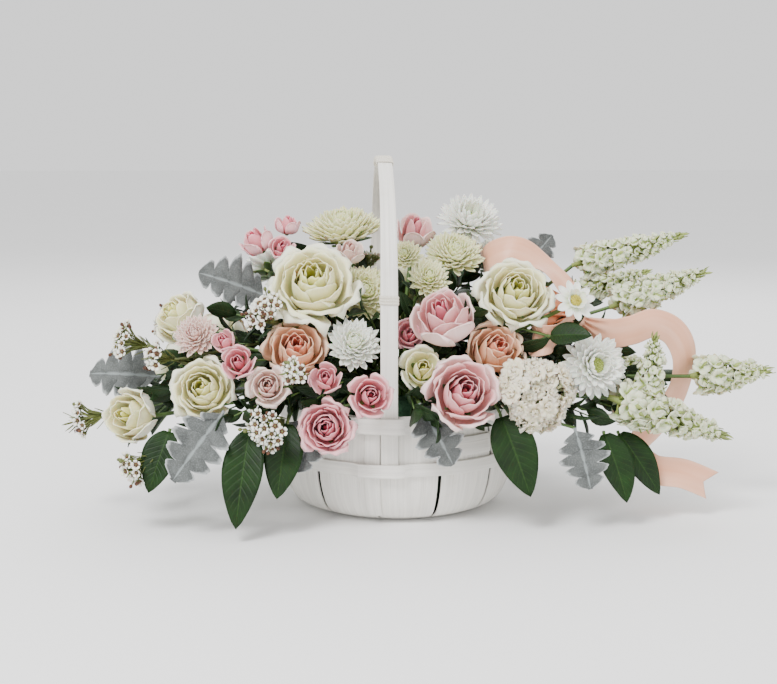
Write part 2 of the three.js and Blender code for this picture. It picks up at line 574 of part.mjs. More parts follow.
const SPIKES = {
  flower_spikes_upper: [
    { from: [173, -6, 228], to: [275, -12, 256], radius: 20 },
    { from: [205, -26, 190], to: [292, -28, 222], radius: 21 },
  ],
  flower_spikes_lower: [
    { from: [277, -50, 126], to: [346, -54, 131], radius: 23 },
    { from: [192, -98, 113], to: [296, -100, 78], radius: 25 },
    { from: [226, -82, 106], to: [232, -78, 168], radius: 19 },
  ],
  flower_spikes_back: [
    { from: [176, 52, 190], to: [262, 74, 214], radius: 18 },
    { from: [186, 84, 122], to: [272, 108, 112], radius: 19 },
  ],
};

// Wax flower: twigs that fork from one stem, each ending in a small cup flower or a bud.
const WAX = {
  wax_flower_left: [
    { tip: [-262, -66, 168], flowers: 3, spread: 26 }, { tip: [-228, -92, 156], flowers: 2, spread: 18 },
    { tip: [-303, -54, 88], flowers: 3, spread: 24, needles: 4 }, { tip: [-248, -124, 57], flowers: 3, spread: 22 },
  ],
  wax_flower_front: [
    { tip: [-129, -156, 96], flowers: 4, spread: 28 }, { tip: [-100, -160, 152], flowers: 2, spread: 14 },
    { tip: [-131, -99, 202], flowers: 4, spread: 26 },
  ],
  wax_flower_back: [
    { tip: [-236, 70, 170], flowers: 3, spread: 26 }, { tip: [-120, 138, 116], flowers: 3, spread: 28 },
    { tip: [-30, 66, 236], flowers: 3, spread: 24 },
  ],
};

// Leaves: foot, tip and width; dusty miller is lobed and silver, the broad leaves are plain and dark.
const DUSTY = {
  dusty_miller_left: [
    { foot: [-226, -36, 126], tip: [-290, -34, 134], width: 50, up: [0.1, -0.75, 0.6] },
    { foot: [-160, -128, 108], tip: [-204, -152, 55], width: 46, up: [-0.1, -0.95, 0.3] },
    { foot: [-128, -20, 200], tip: [-184, -36, 228], width: 52, up: [-0.2, -0.7, 0.7] },
  ],
  dusty_miller_front: [
    { foot: [-76, -112, 106], tip: [-96, -136, 58], width: 38, up: [-0.2, -0.95, 0.3] },
    { foot: [14, -120, 112], tip: [44, -136, 62], width: 42, up: [0.2, -0.95, 0.25] },
  ],
  dusty_miller_right: [
    { foot: [152, -120, 88], tip: [164, -146, 42], width: 42, up: [0.15, -0.95, 0.3] },
    { foot: [118, 14, 214], tip: [152, 16, 256], width: 32, up: [0.1, -0.8, 0.5] },
  ],
  dusty_miller_back: [
    { foot: [-140, 106, 110], tip: [-190, 138, 72], width: 46, up: [-0.2, 0.9, 0.4] },
    { foot: [12, 118, 118], tip: [20, 150, 66], width: 42, up: [0, 0.95, 0.35] },
  ],
};
const BROAD = {
  broad_leaves_left: [
    { foot: [-136, -128, 92], tip: [-149, -166, 18], width: 36, up: [-0.1, -0.9, 0.35] },
    { foot: [-104, -118, 96], tip: [-112, -152, 40], width: 34, up: [0.1, -0.9, 0.35] },
    { foot: [-208, -106, 88], tip: [-226, -132, 42], width: 32, up: [-0.2, -0.9, 0.3] },
    { foot: [-216, -12, 98], tip: [-262, -8, 60], width: 38, up: [-0.5, 0, 0.8] },
    { foot: [-204, 46, 98], tip: [-246, 62, 58], width: 36, up: [-0.5, 0.4, 0.8] },
    { foot: [-20, -62, 124], tip: [-26, -100, 146], width: 36, up: [0, -0.5, 0.85] },
  ],
  broad_leaves_right: [
    { foot: [86, -116, 100], tip: [110, -148, 38], width: 40, up: [0.1, -0.95, 0.3] },
    { foot: [180, -108, 82], tip: [200, -134, 28], width: 34, up: [0.3, -0.9, 0.3] },
    { foot: [198, -88, 78], tip: [234, -112, 30], width: 30, up: [0.2, -0.9, 0.4] },
    { foot: [134, -94, 170], tip: [164, -116, 176], width: 24, up: [0, -0.8, 0.6] },
    { foot: [196, 2, 108], tip: [246, 10, 78], width: 36, up: [0.5, 0, 0.8] },
    { foot: [206, 44, 100], tip: [250, 58, 62], width: 38, up: [0.5, 0.4, 0.8] },
  ],
  broad_leaves_back: [
    { foot: [-76, 116, 98], tip: [-92, 152, 40], width: 38, up: [-0.1, 0.95, 0.3] },
    { foot: [-24, 120, 98], tip: [-26, 158, 44], width: 36, up: [0, 0.95, 0.3] },
    { foot: [78, 118, 96], tip: [82, 154, 42], width: 36, up: [0.1, 0.95, 0.3] },
    { foot: [-66, 10, 212], tip: [-106, 20, 250], width: 34, up: [-0.2, 0.5, 0.8] },
    { foot: [126, 112, 92], tip: [158, 144, 42], width: 38, up: [0.2, 0.9, 0.3] },
    { foot: [54, 52, 196], tip: [62, 96, 238], width: 34, up: [0, -0.6, 0.7] },
  ],
};

// ---------------------------------------------------------------- heads, stems and sprays
const HEAD_HEIGHT = { rose: roseHeight, spray: roseHeight, collar: (h) => h.height, rays: (h) => 0.42 * h.radius };
const HEAD_MIDDLE = { rose: 0.62, spray: 0.62, collar: 0.5, rays: 0.7 };
const HEAD_SHAPE = { rose: roseHead, spray: sprayHead, collar: collarHead, rays: rayHead };

function headPose(head) {
  const middle = vec(...head.at);
  const face = (head.face ? vec(...head.face) : outwards(middle)).normalize();
  const foot = middle.clone().addScaledVector(face, -HEAD_HEIGHT[head.kind](head) * HEAD_MIDDLE[head.kind]);
  return { foot, face, pose: poseAt(foot, face) };
}

// Stems go from their heads to places of their own on the foam, and down into it. A stem is bent aside where it
// would run into an earlier stem, a head or a leg of the handle.
const claimed = [-1, 1].map((side) => ({
  from: vec(HANDLE_X, side * (MOUTH_RADIUS + 2), 40), to: vec(HANDLE_X, side * HANDLE_REACH, HANDLE_SPRING), radius: 11, owner: "handle",
}));
const headBalls = [];
const entries = [];

function segmentGap(a, b) {
  let best = Infinity;
  const line = new THREE.Line3(b.from, b.to);
  const near = vec(0, 0, 0);
  for (let i = 0; i <= 12; i++) {
    const p = a.from.clone().lerp(a.to, i / 12);
    line.closestPointToPoint(p, true, near);
    best = Math.min(best, p.distanceTo(near));
  }
  return best - a.radius - b.radius;
}

function crowding(path, radius, owner) {
  let cost = 0;
  for (let i = 0; i + 1 < path.length; i++) {
    const piece = { from: path[i], to: path[i + 1], radius };
    for (const other of claimed) {
      if (other.owner === owner) continue;
      const gap = segmentGap(piece, other);
      if (gap < 1) cost += 30 * (1 - gap);
    }
    for (const ball of headBalls) {
      if (ball.owner === owner) continue;
      const gap = segmentGap(piece, { from: ball.at, to: ball.at, radius: ball.radius });
      if (gap < 0) cost -= 6 * gap;
    }
  }
  return cost;
}

// The place on the foam nearest to where the stem comes from that no other stem has taken.
function entryFor(from) {
  const wish = vec(from.x * 0.27, from.y * 0.42, FOAM_HIGH);
  if (Math.hypot(wish.x, wish.y) > FOAM_RADIUS - 14) wish.multiplyScalar((FOAM_RADIUS - 14) / Math.hypot(wish.x, wish.y));
  let [best, bestCost] = [null, Infinity];
  for (let ring = 0; ring <= 10; ring++) {
    for (let k = 0; k < 12; k++) {
      const spot = vec(wish.x + 5 * ring * Math.cos((Math.PI * k) / 6), wish.y + 5 * ring * Math.sin((Math.PI * k) / 6), FOAM_HIGH);
      const crowd = entries.filter((e) => e.distanceTo(spot) < 9.5).length;
      const cost = 5 * ring + 200 * crowd + (Math.hypot(spot.x, spot.y) > FOAM_RADIUS - 11 ? 500 : 0);
      if (cost < bestCost) [best, bestCost] = [spot, cost];
    }
  }
  entries.push(best);
  return best;
}

// A bent way from one point to another that clears what is there already, over the rim where it has to.
function clearWay(from, to, radius, owner) {
  const out = Math.hypot(to.x, to.y);
  const over = out > MOUTH_RADIUS ? MOUTH_RADIUS / out : 0.6;
  const bend = vec(to.x * over, to.y * over, Math.max(lerp(from.z, to.z, 0.55), RIM_HEIGHT + 10));
  let [best, bestCost] = [null, Infinity];
  for (let ring = 0; ring <= 8; ring++) {
    for (let k = 0; k < (ring ? 8 : 1); k++) {
      const side = vec(-to.y, to.x, 0).normalize().multiplyScalar(4 * ring * Math.cos((Math.PI * k) / 4));
      const lift = vec(0, 0, 4 * ring * Math.sin((Math.PI * k) / 4));
      const middle = bend.clone().add(side).add(lift);
      if (out > MOUTH_RADIUS) middle.z = Math.max(middle.z, RIM_HEIGHT + 6);
      const path = [from, middle, to];
      const cost = crowding(path, radius, owner) + 0.4 * ring;
      if (cost < bestCost) [best, bestCost] = [path, cost];
    }
  }
  for (let i = 0; i + 1 < best.length; i++) claimed.push({ from: best[i], to: best[i + 1], radius, owner });
  return best;
}

const foamHoles = [];

// Takes a place on the foam, and the upright part of the stem in it.
function stand(name, middle, radius) {
  const entry = entryFor(middle);
  const low = entry.clone().setZ(FOAM_HIGH - 28);
  const fork = entry.clone().setZ(FORK_HEIGHT);
  claimed.push({ from: low, to: fork, radius, owner: name });
  foamHoles.push({ from: low.clone().setZ(low.z - 1), to: fork.clone().setZ(FOAM_HIGH + 3), radius: radius + 0.9 });
  return { low, fork };
}

function inPlace(head, pose) {
  return {
    rings: head.rings.map((ring) => ring.map((q) => q.clone().applyMatrix4(pose))),
    rays: (head.rays ?? []).map((ray) => put(ray, pose)),
  };
}

// A head grown on its stem as one skin: from the stem's rings straight into the head's. A bloom's rings are each
// lined up with the one before, and for a leaf the stem's rings are turned to fit the leaf's first one.
function headOnStem(path, radius, { rings, rays = [], isLeaf = false }) {
  const stem = rodRings(path, radius, 3);
  const start = stem.at(-1).indexOf(lineUp(stem.at(-1), rings[0])[0]);
  if (isLeaf) return skin([...stem.map((ring) => [...ring.slice(start), ...ring.slice(0, start)]), ...rings], BLADE_FLIPS);
  const all = stem;
  for (const ring of rings) all.push(lineUp(ring, all.at(-1)));
  return fuse([skin(all), rays]);
}

// Notes where a bloom's heads are, so that other stems go round them.
function noteHeads(name, heads) {
  for (const head of heads) {
    const at = vec(...head.at).addScaledVector(headPose(head).face, -0.1 * head.radius);
    headBalls.push({ at, radius: 0.8 * head.radius, owner: name });
  }
}

// Notes the places of everything that stands on a line of its own, so that stems go round it.
function noteLines() {
  const note = (owner, from, to, radius) => claimed.push({ owner, from: vec(...from), to: vec(...to), radius });
  for (const [name, spikes] of Object.entries(SPIKES)) {
    for (const { from, to, radius } of spikes) note(name, from, to, 0.75 * radius);
  }
  for (const [name, leaves] of Object.entries({ ...DUSTY, ...BROAD })) {
    for (const { foot, tip, width } of leaves) note(name, foot, tip, 0.3 * width);
  }
  for (const run of Object.values(RIBBON_RUNS)) {
    for (let i = 0; i + 1 < run.length; i++) note("ribbon_bow", run[i][0], run[i + 1][0], 0.38 * RIBBON_WIDTH);
  }
  for (const [name, twigs] of Object.entries(WAX)) {
    for (const { tip, spread } of twigs) headBalls.push({ at: vec(...tip), radius: 0.5 * spread, owner: name });
  }
}

function bloom(name, heads, index) {
  const poses = heads.map(headPose);
  const middle = poses.reduce((sum, p) => sum.add(p.foot), vec(0, 0, 0)).divideScalar(heads.length);
  const radius = heads.length > 1 ? 1.8 : STEM_RADIUS;
  const { low, fork } = stand(name, middle, STEM_RADIUS);
  return fuse(heads.map((head, i) => {
    const { foot, face, pose } = poses[i];
    const [, bend] = clearWay(fork, foot.clone().addScaledVector(face, -4), radius, name);
    const path = [...(i ? [] : [low]), fork, bend, foot];
    return headOnStem(path, radius, inPlace(HEAD_SHAPE[head.kind]({ ...head, seed: index * 3 + i + 1 }), pose));
  }));
}

function waxTwig({ flowers, spread, needles = 0 }, index, base, away) {
  const random = seeded(17 + index * 31);
  const side = away.clone().cross(vec(0, 0, 1)).normalize();
  const over = side.clone().cross(away);
  const blooms = Array.from({ length: flowers }, (_, i) => {
    const turn = (2 * Math.PI * (i + 0.3 * random())) / flowers + index;
    const lean = (i === 0 ? 0.1 : 0.75) * spread * 0.62;
    const at = base.clone().addScaledVector(away, spread * (0.55 + 0.45 * random()))
      .addScaledVector(side, lean * Math.cos(turn)).addScaledVector(over, lean * Math.sin(turn));
    const face = at.clone().sub(base).normalize().add(vec(0, at.y < 0 ? -0.6 : 0.6, 0.2)).normalize();
    const pose = poseAt(at.clone().addScaledVector(face, 2.6), face, i);
    const foot = base.clone().addScaledVector(away, -1 - 2 * i).applyMatrix4(pose.clone().invert());
    return put(floret(6.6, foot), pose);
  });
  const leaves = Array.from({ length: needles }, (_, i) => {
    const turn = 2.4 * i;
    const way = away.clone().multiplyScalar(0.8).addScaledVector(side, Math.cos(turn))
      .addScaledVector(over, Math.sin(turn)).normalize();
    const flat = way.clone().cross(vec(0.3, 1, 0.2)).normalize();
    return spear(base.clone().addScaledVector(away, 3 * i - 12), way, flat, 18, 3, 2);
  });
  return [blooms, leaves];
}

// A group on one stem that forks above the foam: where each branch ends, and what is fixed there.
function groupSolid(name, radius, branches) {
  const middle = branches.reduce((sum, b) => sum.add(b.end), vec(0, 0, 0)).divideScalar(branches.length);
  const { low, fork } = stand(name, middle, radius);
  return fuse(branches.map(({ end, beyond, made, head }, i) => {
    const [, bend] = clearWay(fork, end, radius, name);
    const path = [...(i ? [] : [low]), fork, bend, end];
    return head ? headOnStem(path, radius, head) : [rod([...path, beyond], radius, 3), made];
  }));
}

function waxSpray(name, twigs, index) {
  return groupSolid(name, 1.6, twigs.map((twig, i) => {
    const tip = vec(...twig.tip);
    const away = tip.clone().sub(vec(tip.x * 0.4, tip.y * 0.4, RIM_HEIGHT + 20)).normalize();
    const end = tip.clone().addScaledVector(away, -twig.spread);
    const neck = end.clone().addScaledVector(away, -9);
    return { end: neck, beyond: end.clone().addScaledVector(away, 1), made: waxTwig(twig, index * 9 + i, end, away) };
  }));
}

function leafyStem(name, leaves, lobed) {
  return groupSolid(name, 1.7, leaves.map(({ foot, tip, up, width }) => {
    const head = leafHead({ foot: vec(...foot), tip: vec(...tip), up: vec(...up), width, lobed });
    return { end: head.root, head };
  }));
}

function spikeGroup(name, spikes, index) {
  return groupSolid(name, 2, spikes.map((spike, i) => {
    const [from, to] = [vec(...spike.from), vec(...spike.to)];
    const way = to.clone().sub(from);
    const head = spikeHead({ radius: spike.radius, length: way.length(), seed: 5 + 11 * i + index });
    return { end: from.clone().addScaledVector(way, -0.05), head: inPlace(head, poseAt(from, way)) };
  }));
}

// ---------------------------------------------------------------- ribbon
const RIBBON_WIDTH = 27;
const RIBBON_THICKNESS = 0.9;
const RIBBON_RUNS = {
  // each point: where the ribbon's middle line runs, and the way its width points
  upper_loop: [
    [[163, -54, 184], [0.3, 0.3, 0.9]], [[156, -42, 210], [0.5, 0.75, 0.4]], [[136, -34, 231], [0.3, 0.8, 0.5]],
    [[110, -34, 243], [0.1, 0.3, 0.9]], [[92, -30, 241], [-0.1, 0.5, 0.85]], [[80, -20, 229], [-0.1, 0.75, 0.6]],
    [[90, -8, 214], [0.2, 0.7, 0.7]], [[118, -12, 204], [0.3, 0.4, 0.9]], [[146, -28, 190], [0.3, 0.2, 0.9]],
    [[163, -48, 181], [0.3, 0.1, 0.9]],
  ],
  lower_loop: [
    [[163, -54, 183], [0.3, 0, 0.95]], [[150, -76, 176], [0.45, -0.1, 0.9]], [[134, -88, 168], [0.4, -0.1, 0.9]],
    [[120, -84, 164], [0.1, 0.3, 0.95]], [[120, -66, 168], [0.1, 0.2, 0.95]], [[138, -54, 175], [0.2, 0.1, 0.95]],
    [[160, -50, 181], [0.3, 0, 0.95]],
  ],
  right_loop_and_tail: [
    [[165, -53, 182], [0.1, 0, 1]], [[192, -54, 168], [-0.2, 0, 1]], [[214, -56, 170], [-0.1, 0.1, 1]],
    [[236, -52, 176], [0.15, 0.1, 1]], [[258, -44, 166], [0.7, 0.2, 0.75]], [[270, -38, 142], [0.9, 0.35, 0.2]],
    [[264, -36, 108], [0.8, 0.5, -0.3]], [[240, -52, 80], [0.4, 0.3, -0.85]], [[218, -66, 62], [-0.1, -0.1, -1]],
    [[230, -86, 46], [-0.3, -0.1, -0.95]], [[258, -92, 42], [-0.25, -0.1, -0.95]], [[286, -90, 30], [-0.6, -0.1, -0.8]],
  ],
};

const KNOT = vec(164, -51, 183);
function ribbonRun(run) {
  const middle = new THREE.CatmullRomCurve3(run.map(([p]) => vec(...p)));
  const steps = 2 * (run.length - 1);
  const rings = [];
  for (let i = 0; i <= steps; i++) {
    const t = (i / steps) * (run.length - 1);
    const k = Math.min(run.length - 2, Math.floor(t));
    const across = vec(...run[k][1]).normalize().lerp(vec(...run[k + 1][1]).normalize(), t - k);
    const along = middle.getTangent(i / steps);
    const centre = middle.getPoint(i / steps);
    const gathered = lerp(0.25, 1, THREE.MathUtils.smoothstep(centre.distanceTo(KNOT), 4, 30));
    across.addScaledVector(along, -across.dot(along)).normalize().multiplyScalar((gathered * RIBBON_WIDTH) / 2);
    const normal = along.clone().cross(across).normalize().multiplyScalar(RIBBON_THICKNESS / 2);
    rings.push([[1, -1], [1, 1], [-1, 1], [-1, -1]]
      .map(([a, n]) => centre.clone().addScaledVector(across, a).addScaledVector(normal, n)));
  }
  const half = Math.floor(rings.length / 2);
  return [skin(rings.slice(0, half + 1), [3]), skin(rings.slice(half), [3])];
}

// Each run is made in short stretches, so that a loop can come back to the knot where it began.
function ribbonBow() {
  const knot = put(lathe([[0, -9], [8, -5], [8, 5], [0, 9]], 6), poseAt(KNOT, vec(0.3, 0.1, 1)));
  const made = [knot, Object.values(RIBBON_RUNS).map(ribbonRun)];
  return groupSolid("ribbon_bow", 1.3, [{ end: vec(156, -46, 170), beyond: KNOT, made }]);
}

// ---------------------------------------------------------------- putting it together
const pieces = new Map(); // name to { made, finish }
const loose = []; // what fell off a piece
function add(name, made, finishName) {
  const whole = largest(made);
  const lost = made.volume() - whole.volume();
  if (lost > 0.5) loose.push({ name, lost });
  pieces.set(name, { made: whole, finish: finishName });
}

add("basket_splints", basketSplints(), "whitewash");
add("basket_slat_front", basketSlat(SLAT_ANGLE), "whitewash");
add("basket_band", basketBand(), "whitewash");
add("basket_weaver", basketWeaver(), "whitewash");
add("basket_rim_outer", basketRimOuter(), "whitewash");
add("basket_rim_inner", basketRimInner(), "whitewash");
add("handle", handle(), "whitewash");
add("handle_binding_front", legBinding(-1), "reed");
add("handle_binding_back", legBinding(1), "reed");
add("handle_grip_wrap", gripWrap(), "reed");
add("liner", lathe(LINER_PROFILE, 12), "liner");

for (const [name, { heads }] of Object.entries(BLOOMS)) noteHeads(name, heads);
noteLines();
Object.entries(BLOOMS).forEach(([name, { finish: colour, heads }], index) => add(name, bloom(name, heads, index), colour));
Object.entries(SPIKES).forEach(([name, spikes], i) => add(name, spikeGroup(name, spikes, i), "spike"));
for (const [name, leaves] of Object.entries(DUSTY)) add(name, leafyStem(name, leaves, true), "silver");
for (const [name, leaves] of Object.entries(BROAD)) add(name, leafyStem(name, leaves, false), "leaf");
Object.entries(WAX).forEach(([name, twigs], i) => add(name, waxSpray(name, twigs, i), "wax"));
add("ribbon_bow", ribbonBow(), "ribbon");

// Where two pieces press on each other, the softer one gives way: the shared space, grown by the gap, is cut
// from whichever of the two loses less and stays whole.
const WAYS = [-1, 1].flatMap((a) => [
  vec(a, 0, 0), vec(0, a, 0), vec(0, 0, a), ...[-1, 1].flatMap((b) => [vec(a, b, 1), vec(a, b, -1)]),
]).map((way) => way.normalize());

function boxRound(made, by) {
  const { min, max } = made.boundingBox();
  const size = max.map((m, i) => m - min[i] + 2 * by);
  return solid(new THREE.BoxGeometry(...size).translate(...max.map((m, i) => (m + min[i]) / 2)));
}

function grownHull(made, by) {
  const { numProp, numVert, vertProperties } = made.getMesh();
  const points = Array.from({ length: numVert }, (_, i) => (
    vec(...vertProperties.subarray(i * numProp, i * numProp + 3))));
  const grown = WAYS.map((way) => {
    const furthest = points.reduce((best, q) => (q.dot(way) > best.dot(way) ? q : best), points[0]);
    return furthest.clone().addScaledVector(way, 1.6 * by);
  });
  try {
    return solid(new ConvexGeometry(grown));
  } catch {
    return boxRound(made, by);
  }
}

const FIRM = /^(basket|handle|liner)/;
const trims = []; // what was cut from what
function makeRoom(nameA, nameB) {
  const [a, b] = [pieces.get(nameA), pieces.get(nameB)];
  const common = a.made.intersect(b.made);
  const shared = common.volume();
  if (shared < 0.004) return 0;
  const room = fuse(common.decompose().map((body) => grownHull(body, 0.7)));
  const trimmed = ({ made }) => {
    const left = largest(made.subtract(room));
    return { left, share: left.volume() / made.volume() };
  };
  const [cutA, cutB] = [trimmed(a), trimmed(b)];
  const added = (piece, cut) => cut.left.numTri() - piece.made.numTri();
  const alike = Math.min(cutA.share, cutB.share) > 0.985;
  const better = alike ? added(a, cutA) < added(b, cutB) : cutA.share > cutB.share;
  const takeA = FIRM.test(nameB) || (!FIRM.test(nameA) && better);
  const [piece, cut] = takeA ? [a, cutA] : [b, cutB];
  trims.push({
    trimmed: takeA ? nameA : nameB,
    by: takeA ? nameB : nameA,
    shared,
    keeps: cut.share,
    before: piece.made.numTri(),
    after: cut.left.numTri(),
  });
  piece.made = cut.left;
  return shared;
}

const names = [...pieces.keys()];
for (let pass = 0; pass < 6; pass++) {
  let shared = 0;
  names.forEach((a, i) => names.slice(i + 1).forEach((b) => (shared += makeRoom(a, b))));
  if (shared === 0) break;
}

// The foam is set last: each stem stands in a plain hole in it.
function foamBlock() {
  const block = lathe([
    [0, FOAM_LOW], [FOAM_RADIUS - 7, FOAM_LOW], [FOAM_RADIUS, 16], [FOAM_RADIUS, FOAM_HIGH - 8],
    [FOAM_RADIUS - 7, FOAM_HIGH], [0, FOAM_HIGH],
  ], 12);
  return block.subtract(fuse(foamHoles.map(({ from, to, radius }) => rod([from, to], radius, 3))));
}

export default (() => {
  const group = new THREE.Group();
  const addMesh = (name, made, finishName) => {
    const mesh = new THREE.Mesh(geometryFrom(made), MATERIALS[finishName]);
    mesh.name = name;
    group.add(mesh);
  };
  addMesh("foam", largest(foamBlock()), "foam");
  for (const [name, { made, finish: finishName }] of pieces) addMesh(name, made, finishName);
  group.userData = { trims, loose };
  return group;
})();
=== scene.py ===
"""Flower basket arrangement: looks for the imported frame. All lengths are metres unless a name says mm."""
import math
import random

import bmesh
import bpy
from bpy.props import FloatProperty, FloatVectorProperty, PointerProperty
from mathutils import Matrix, Vector


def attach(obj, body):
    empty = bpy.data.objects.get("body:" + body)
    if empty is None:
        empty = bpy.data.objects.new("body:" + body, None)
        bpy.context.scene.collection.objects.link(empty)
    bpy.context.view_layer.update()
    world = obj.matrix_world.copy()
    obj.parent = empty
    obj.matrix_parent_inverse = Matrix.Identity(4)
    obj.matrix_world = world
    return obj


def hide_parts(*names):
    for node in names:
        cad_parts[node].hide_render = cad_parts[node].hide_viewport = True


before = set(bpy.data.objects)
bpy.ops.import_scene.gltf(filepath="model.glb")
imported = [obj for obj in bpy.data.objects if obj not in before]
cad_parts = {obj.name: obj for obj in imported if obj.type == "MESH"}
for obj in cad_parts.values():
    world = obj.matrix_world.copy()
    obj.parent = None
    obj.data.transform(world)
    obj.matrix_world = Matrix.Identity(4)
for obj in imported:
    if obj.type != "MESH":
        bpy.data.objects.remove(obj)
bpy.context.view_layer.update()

bl_info = {
    "name": "Flower basket arrangement",
    "version": (1, 0, 0),
    "blender": (4, 5, 0),
    "location": "3D View > Sidebar > Flower basket",
    "description": "Dresses a whitewashed splint basket of roses, chrysanthemums and foliage",
    "category": "Add Mesh",
}

MM = 0.001
UP = Vector((0, 0, 1))
GOLDEN_TURN = math.radians(137.5)

# ---------------------------------------------------------------- the basket's sizes, in mm
GAP = 0.4
WALL_PROFILE = [(80, 0), (98, 8), (108.5, 27), (112.5, 56), (108, 100)]  # outside of the splints
SPLINT_THICKNESS = 2
SPLINT_COUNT = 12
FIRST_SPLINT_ANGLE = 2
SPLINT_HALF_SPAN = 14.1
HANDLE_ANGLE = -6.7
SLAT_ANGLE = -14.5
HANDLE_X = -13
HANDLE_REACH = 107
HANDLE_SPRING = 222
HANDLE_TOP = 329
BINDING_HEIGHT = 205
KNOT = Vector((164, -51, 183))

# ---------------------------------------------------------------- the flowers, in mm
# name: slot, heads. A head has its kind, its middle, its radius and how it faces.
ROSES = {
    "rose_cream_far_left": ("cream", [((-247, -88, 101), 26, 0.2, (-0.45, -0.75, 0.25))]),
    "rose_white_upper_left": ("cream", [((-205, -58, 188), 26, 0.4, (-0.62, -0.5, 0.6))]),
    "rose_cream_left": ("cream", [((-178, -116, 130), 30, 0.7, (-0.15, -0.85, 0.4))]),
    "rose_cream_open": ("cream", [((-80, -84, 221), 43, 0.95, (-0.05, -0.78, 0.62))]),
    "rose_peach_left": ("peach", [((-95, -103, 163), 30, 0.5, (0.05, -0.8, 0.55))]),
    "rose_pink_upper": ("pink", [((35, -98, 192), 30, 0.25, (-0.25, -0.55, 0.75))]),
    "rose_pink_front": ("pink", [((51, -140, 129), 34, 0.55, (0.1, -0.85, 0.42))]),
    "rose_peach_right": ("peach", [((85, -94, 160), 28, 0.45, (0.2, -0.75, 0.5))]),
    "rose_cream_small": ("cream", [((17, -108, 145), 22, 0.6, (0, -0.85, 0.4))]),
    "rose_cream_right": ("cream", [((104, -78, 210), 36, 0.8, (0.05, -0.82, 0.55))]),
    "rose_pink_top": ("pink", [((17, -12, 264), 20, 0.15, (0.15, -0.45, 0.88))]),
    "rose_dusty_top": ("blush", [((-45, -38, 245), 14, 0.2, (0.1, -0.5, 0.8))]),
    "spray_roses_front": ("rose_pink", [
        ((-70, -148, 100), 25, 0.75, (-0.1, -0.93, 0.25)),
        ((-31, -150, 128), 20, 0.7, (0.1, -0.93, 0.3)),
        ((-70, -134, 141), 15, 0.3, (-0.05, -0.85, 0.5)),
    ]),
    "spray_roses_left": ("rose_pink", [
        ((-146, -128, 155), 16, 0.4, (-0.15, -0.85, 0.45)),
        ((-159, -116, 172), 11, 0.15, (-0.3, -0.75, 0.6)),
    ]),
    "spray_rose_middle": ("rose_pink", [((6, -86, 173), 15, 0.5, (0, -0.85, 0.45))]),
    "spray_rose_white": ("blush", [((-120, -136, 135), 19, 0.9, (-0.05, -0.9, 0.35))]),
    "spray_buds_top": ("rose_pink", [
        ((-134, -30, 255), 16, 0.1, (-0.45, -0.25, 0.7)),
        ((-103, -18, 269), 12, 0.1, (0.1, -0.15, 0.95)),
        ((-108, -40, 248), 13, 0.5, (0.1, -0.7, 0.6)),
    ]),
    "roses_cream_back_left": ("cream", [((-176, 84, 150), 30, 0.7, None), ((-222, 52, 128), 22, 0.4, None)]),
    "roses_pink_back": ("pink", [((-92, 112, 178), 32, 0.6, None), ((-54, 92, 216), 22, 0.3, None)]),
    "roses_cream_back": ("cream", [((26, 104, 206), 33, 0.72, None), ((10, 132, 158), 22, 0.6, None)]),
    "roses_peach_back": ("peach", [((112, 98, 168), 30, 0.5, None), ((62, 120, 172), 19, 0.4, None)]),
    "spray_roses_back": ("rose_pink", [((58, 138, 130), 23, 0.7, None), ((98, 130, 112), 20, 0.5, None)]),
}
# name: slot, heads. A head has its middle, radius, height and facing.
MUMS = {
    "carnation_blush": ("blush", [((-184, -93, 173), 20, 17, (-0.2, -0.8, 0.5))]),
    "mum_green_top": ("green_cream", [((-51, 14, 260), 36, 24, (-0.1, -0.25, 0.95))]),
    "mum_cream_middle": ("green_cream", [((-33, -48, 206), 26, 22, (0.1, -0.85, 0.5))]),
    "mum_white_low": ("white", [((-44, -100, 165), 24, 20, (0.15, -0.8, 0.6))]),
    "mum_cluster_green": ("green_cream", [
        ((52, -34, 240), 27, 20, (0.1, -0.6, 0.8)),
        ((26, -60, 220), 19, 16, (0, -0.8, 0.6)),
        ((5, -46, 240), 16, 13, (-0.1, -0.75, 0.65)),
    ]),
    "mum_white_back_left": ("white", [((-118, 60, 222), 30, 20, None)]),
    "mums_green_back": ("green_cream", [((-34, 136, 138), 31, 20, None), ((-88, 130, 122), 20, 15, None)]),
    "mum_white_back_right": ("white", [((98, 44, 228), 30, 20, None)]),
}
# name: middle, radius, facing, petal width, tiers of (count, climb in degrees, reach)
RAYED = {
    "mum_spider_top": ((70, 0, 270), 33, (0.15, -0.55, 0.8), 7.5, ((9, 12, 1), (7, 38, 0.94), (4, 66, 0.8))),
    "mum_white_right": ((174, -97, 144), 32, (0.25, -0.9, 0.25), 9, ((10, 8, 1), (7, 36, 0.9), (4, 64, 0.72))),
    "daisy_right": ((155, -96, 203), 20, (0.2, -0.85, 0.5), 7, ((8, 10, 1), (4, 45, 0.7))),
}
STOCK = {"stock_white": ((119, -120, 122), 36, 27, (0.2, -0.9, 0.2))}
SPIKES = {
    "flower_spikes_upper": [((173, -6, 228), (275, -12, 256), 20), ((205, -26, 190), (292, -28, 222), 21)],
    "flower_spikes_lower": [
        ((277, -50, 126), (346, -54, 131), 23),
        ((192, -98, 113), (296, -100, 78), 25),
        ((226, -82, 106), (232, -78, 168), 19),
    ],
    "flower_spikes_back": [((176, 52, 190), (262, 74, 214), 18), ((186, 84, 122), (272, 108, 112), 19)],
}
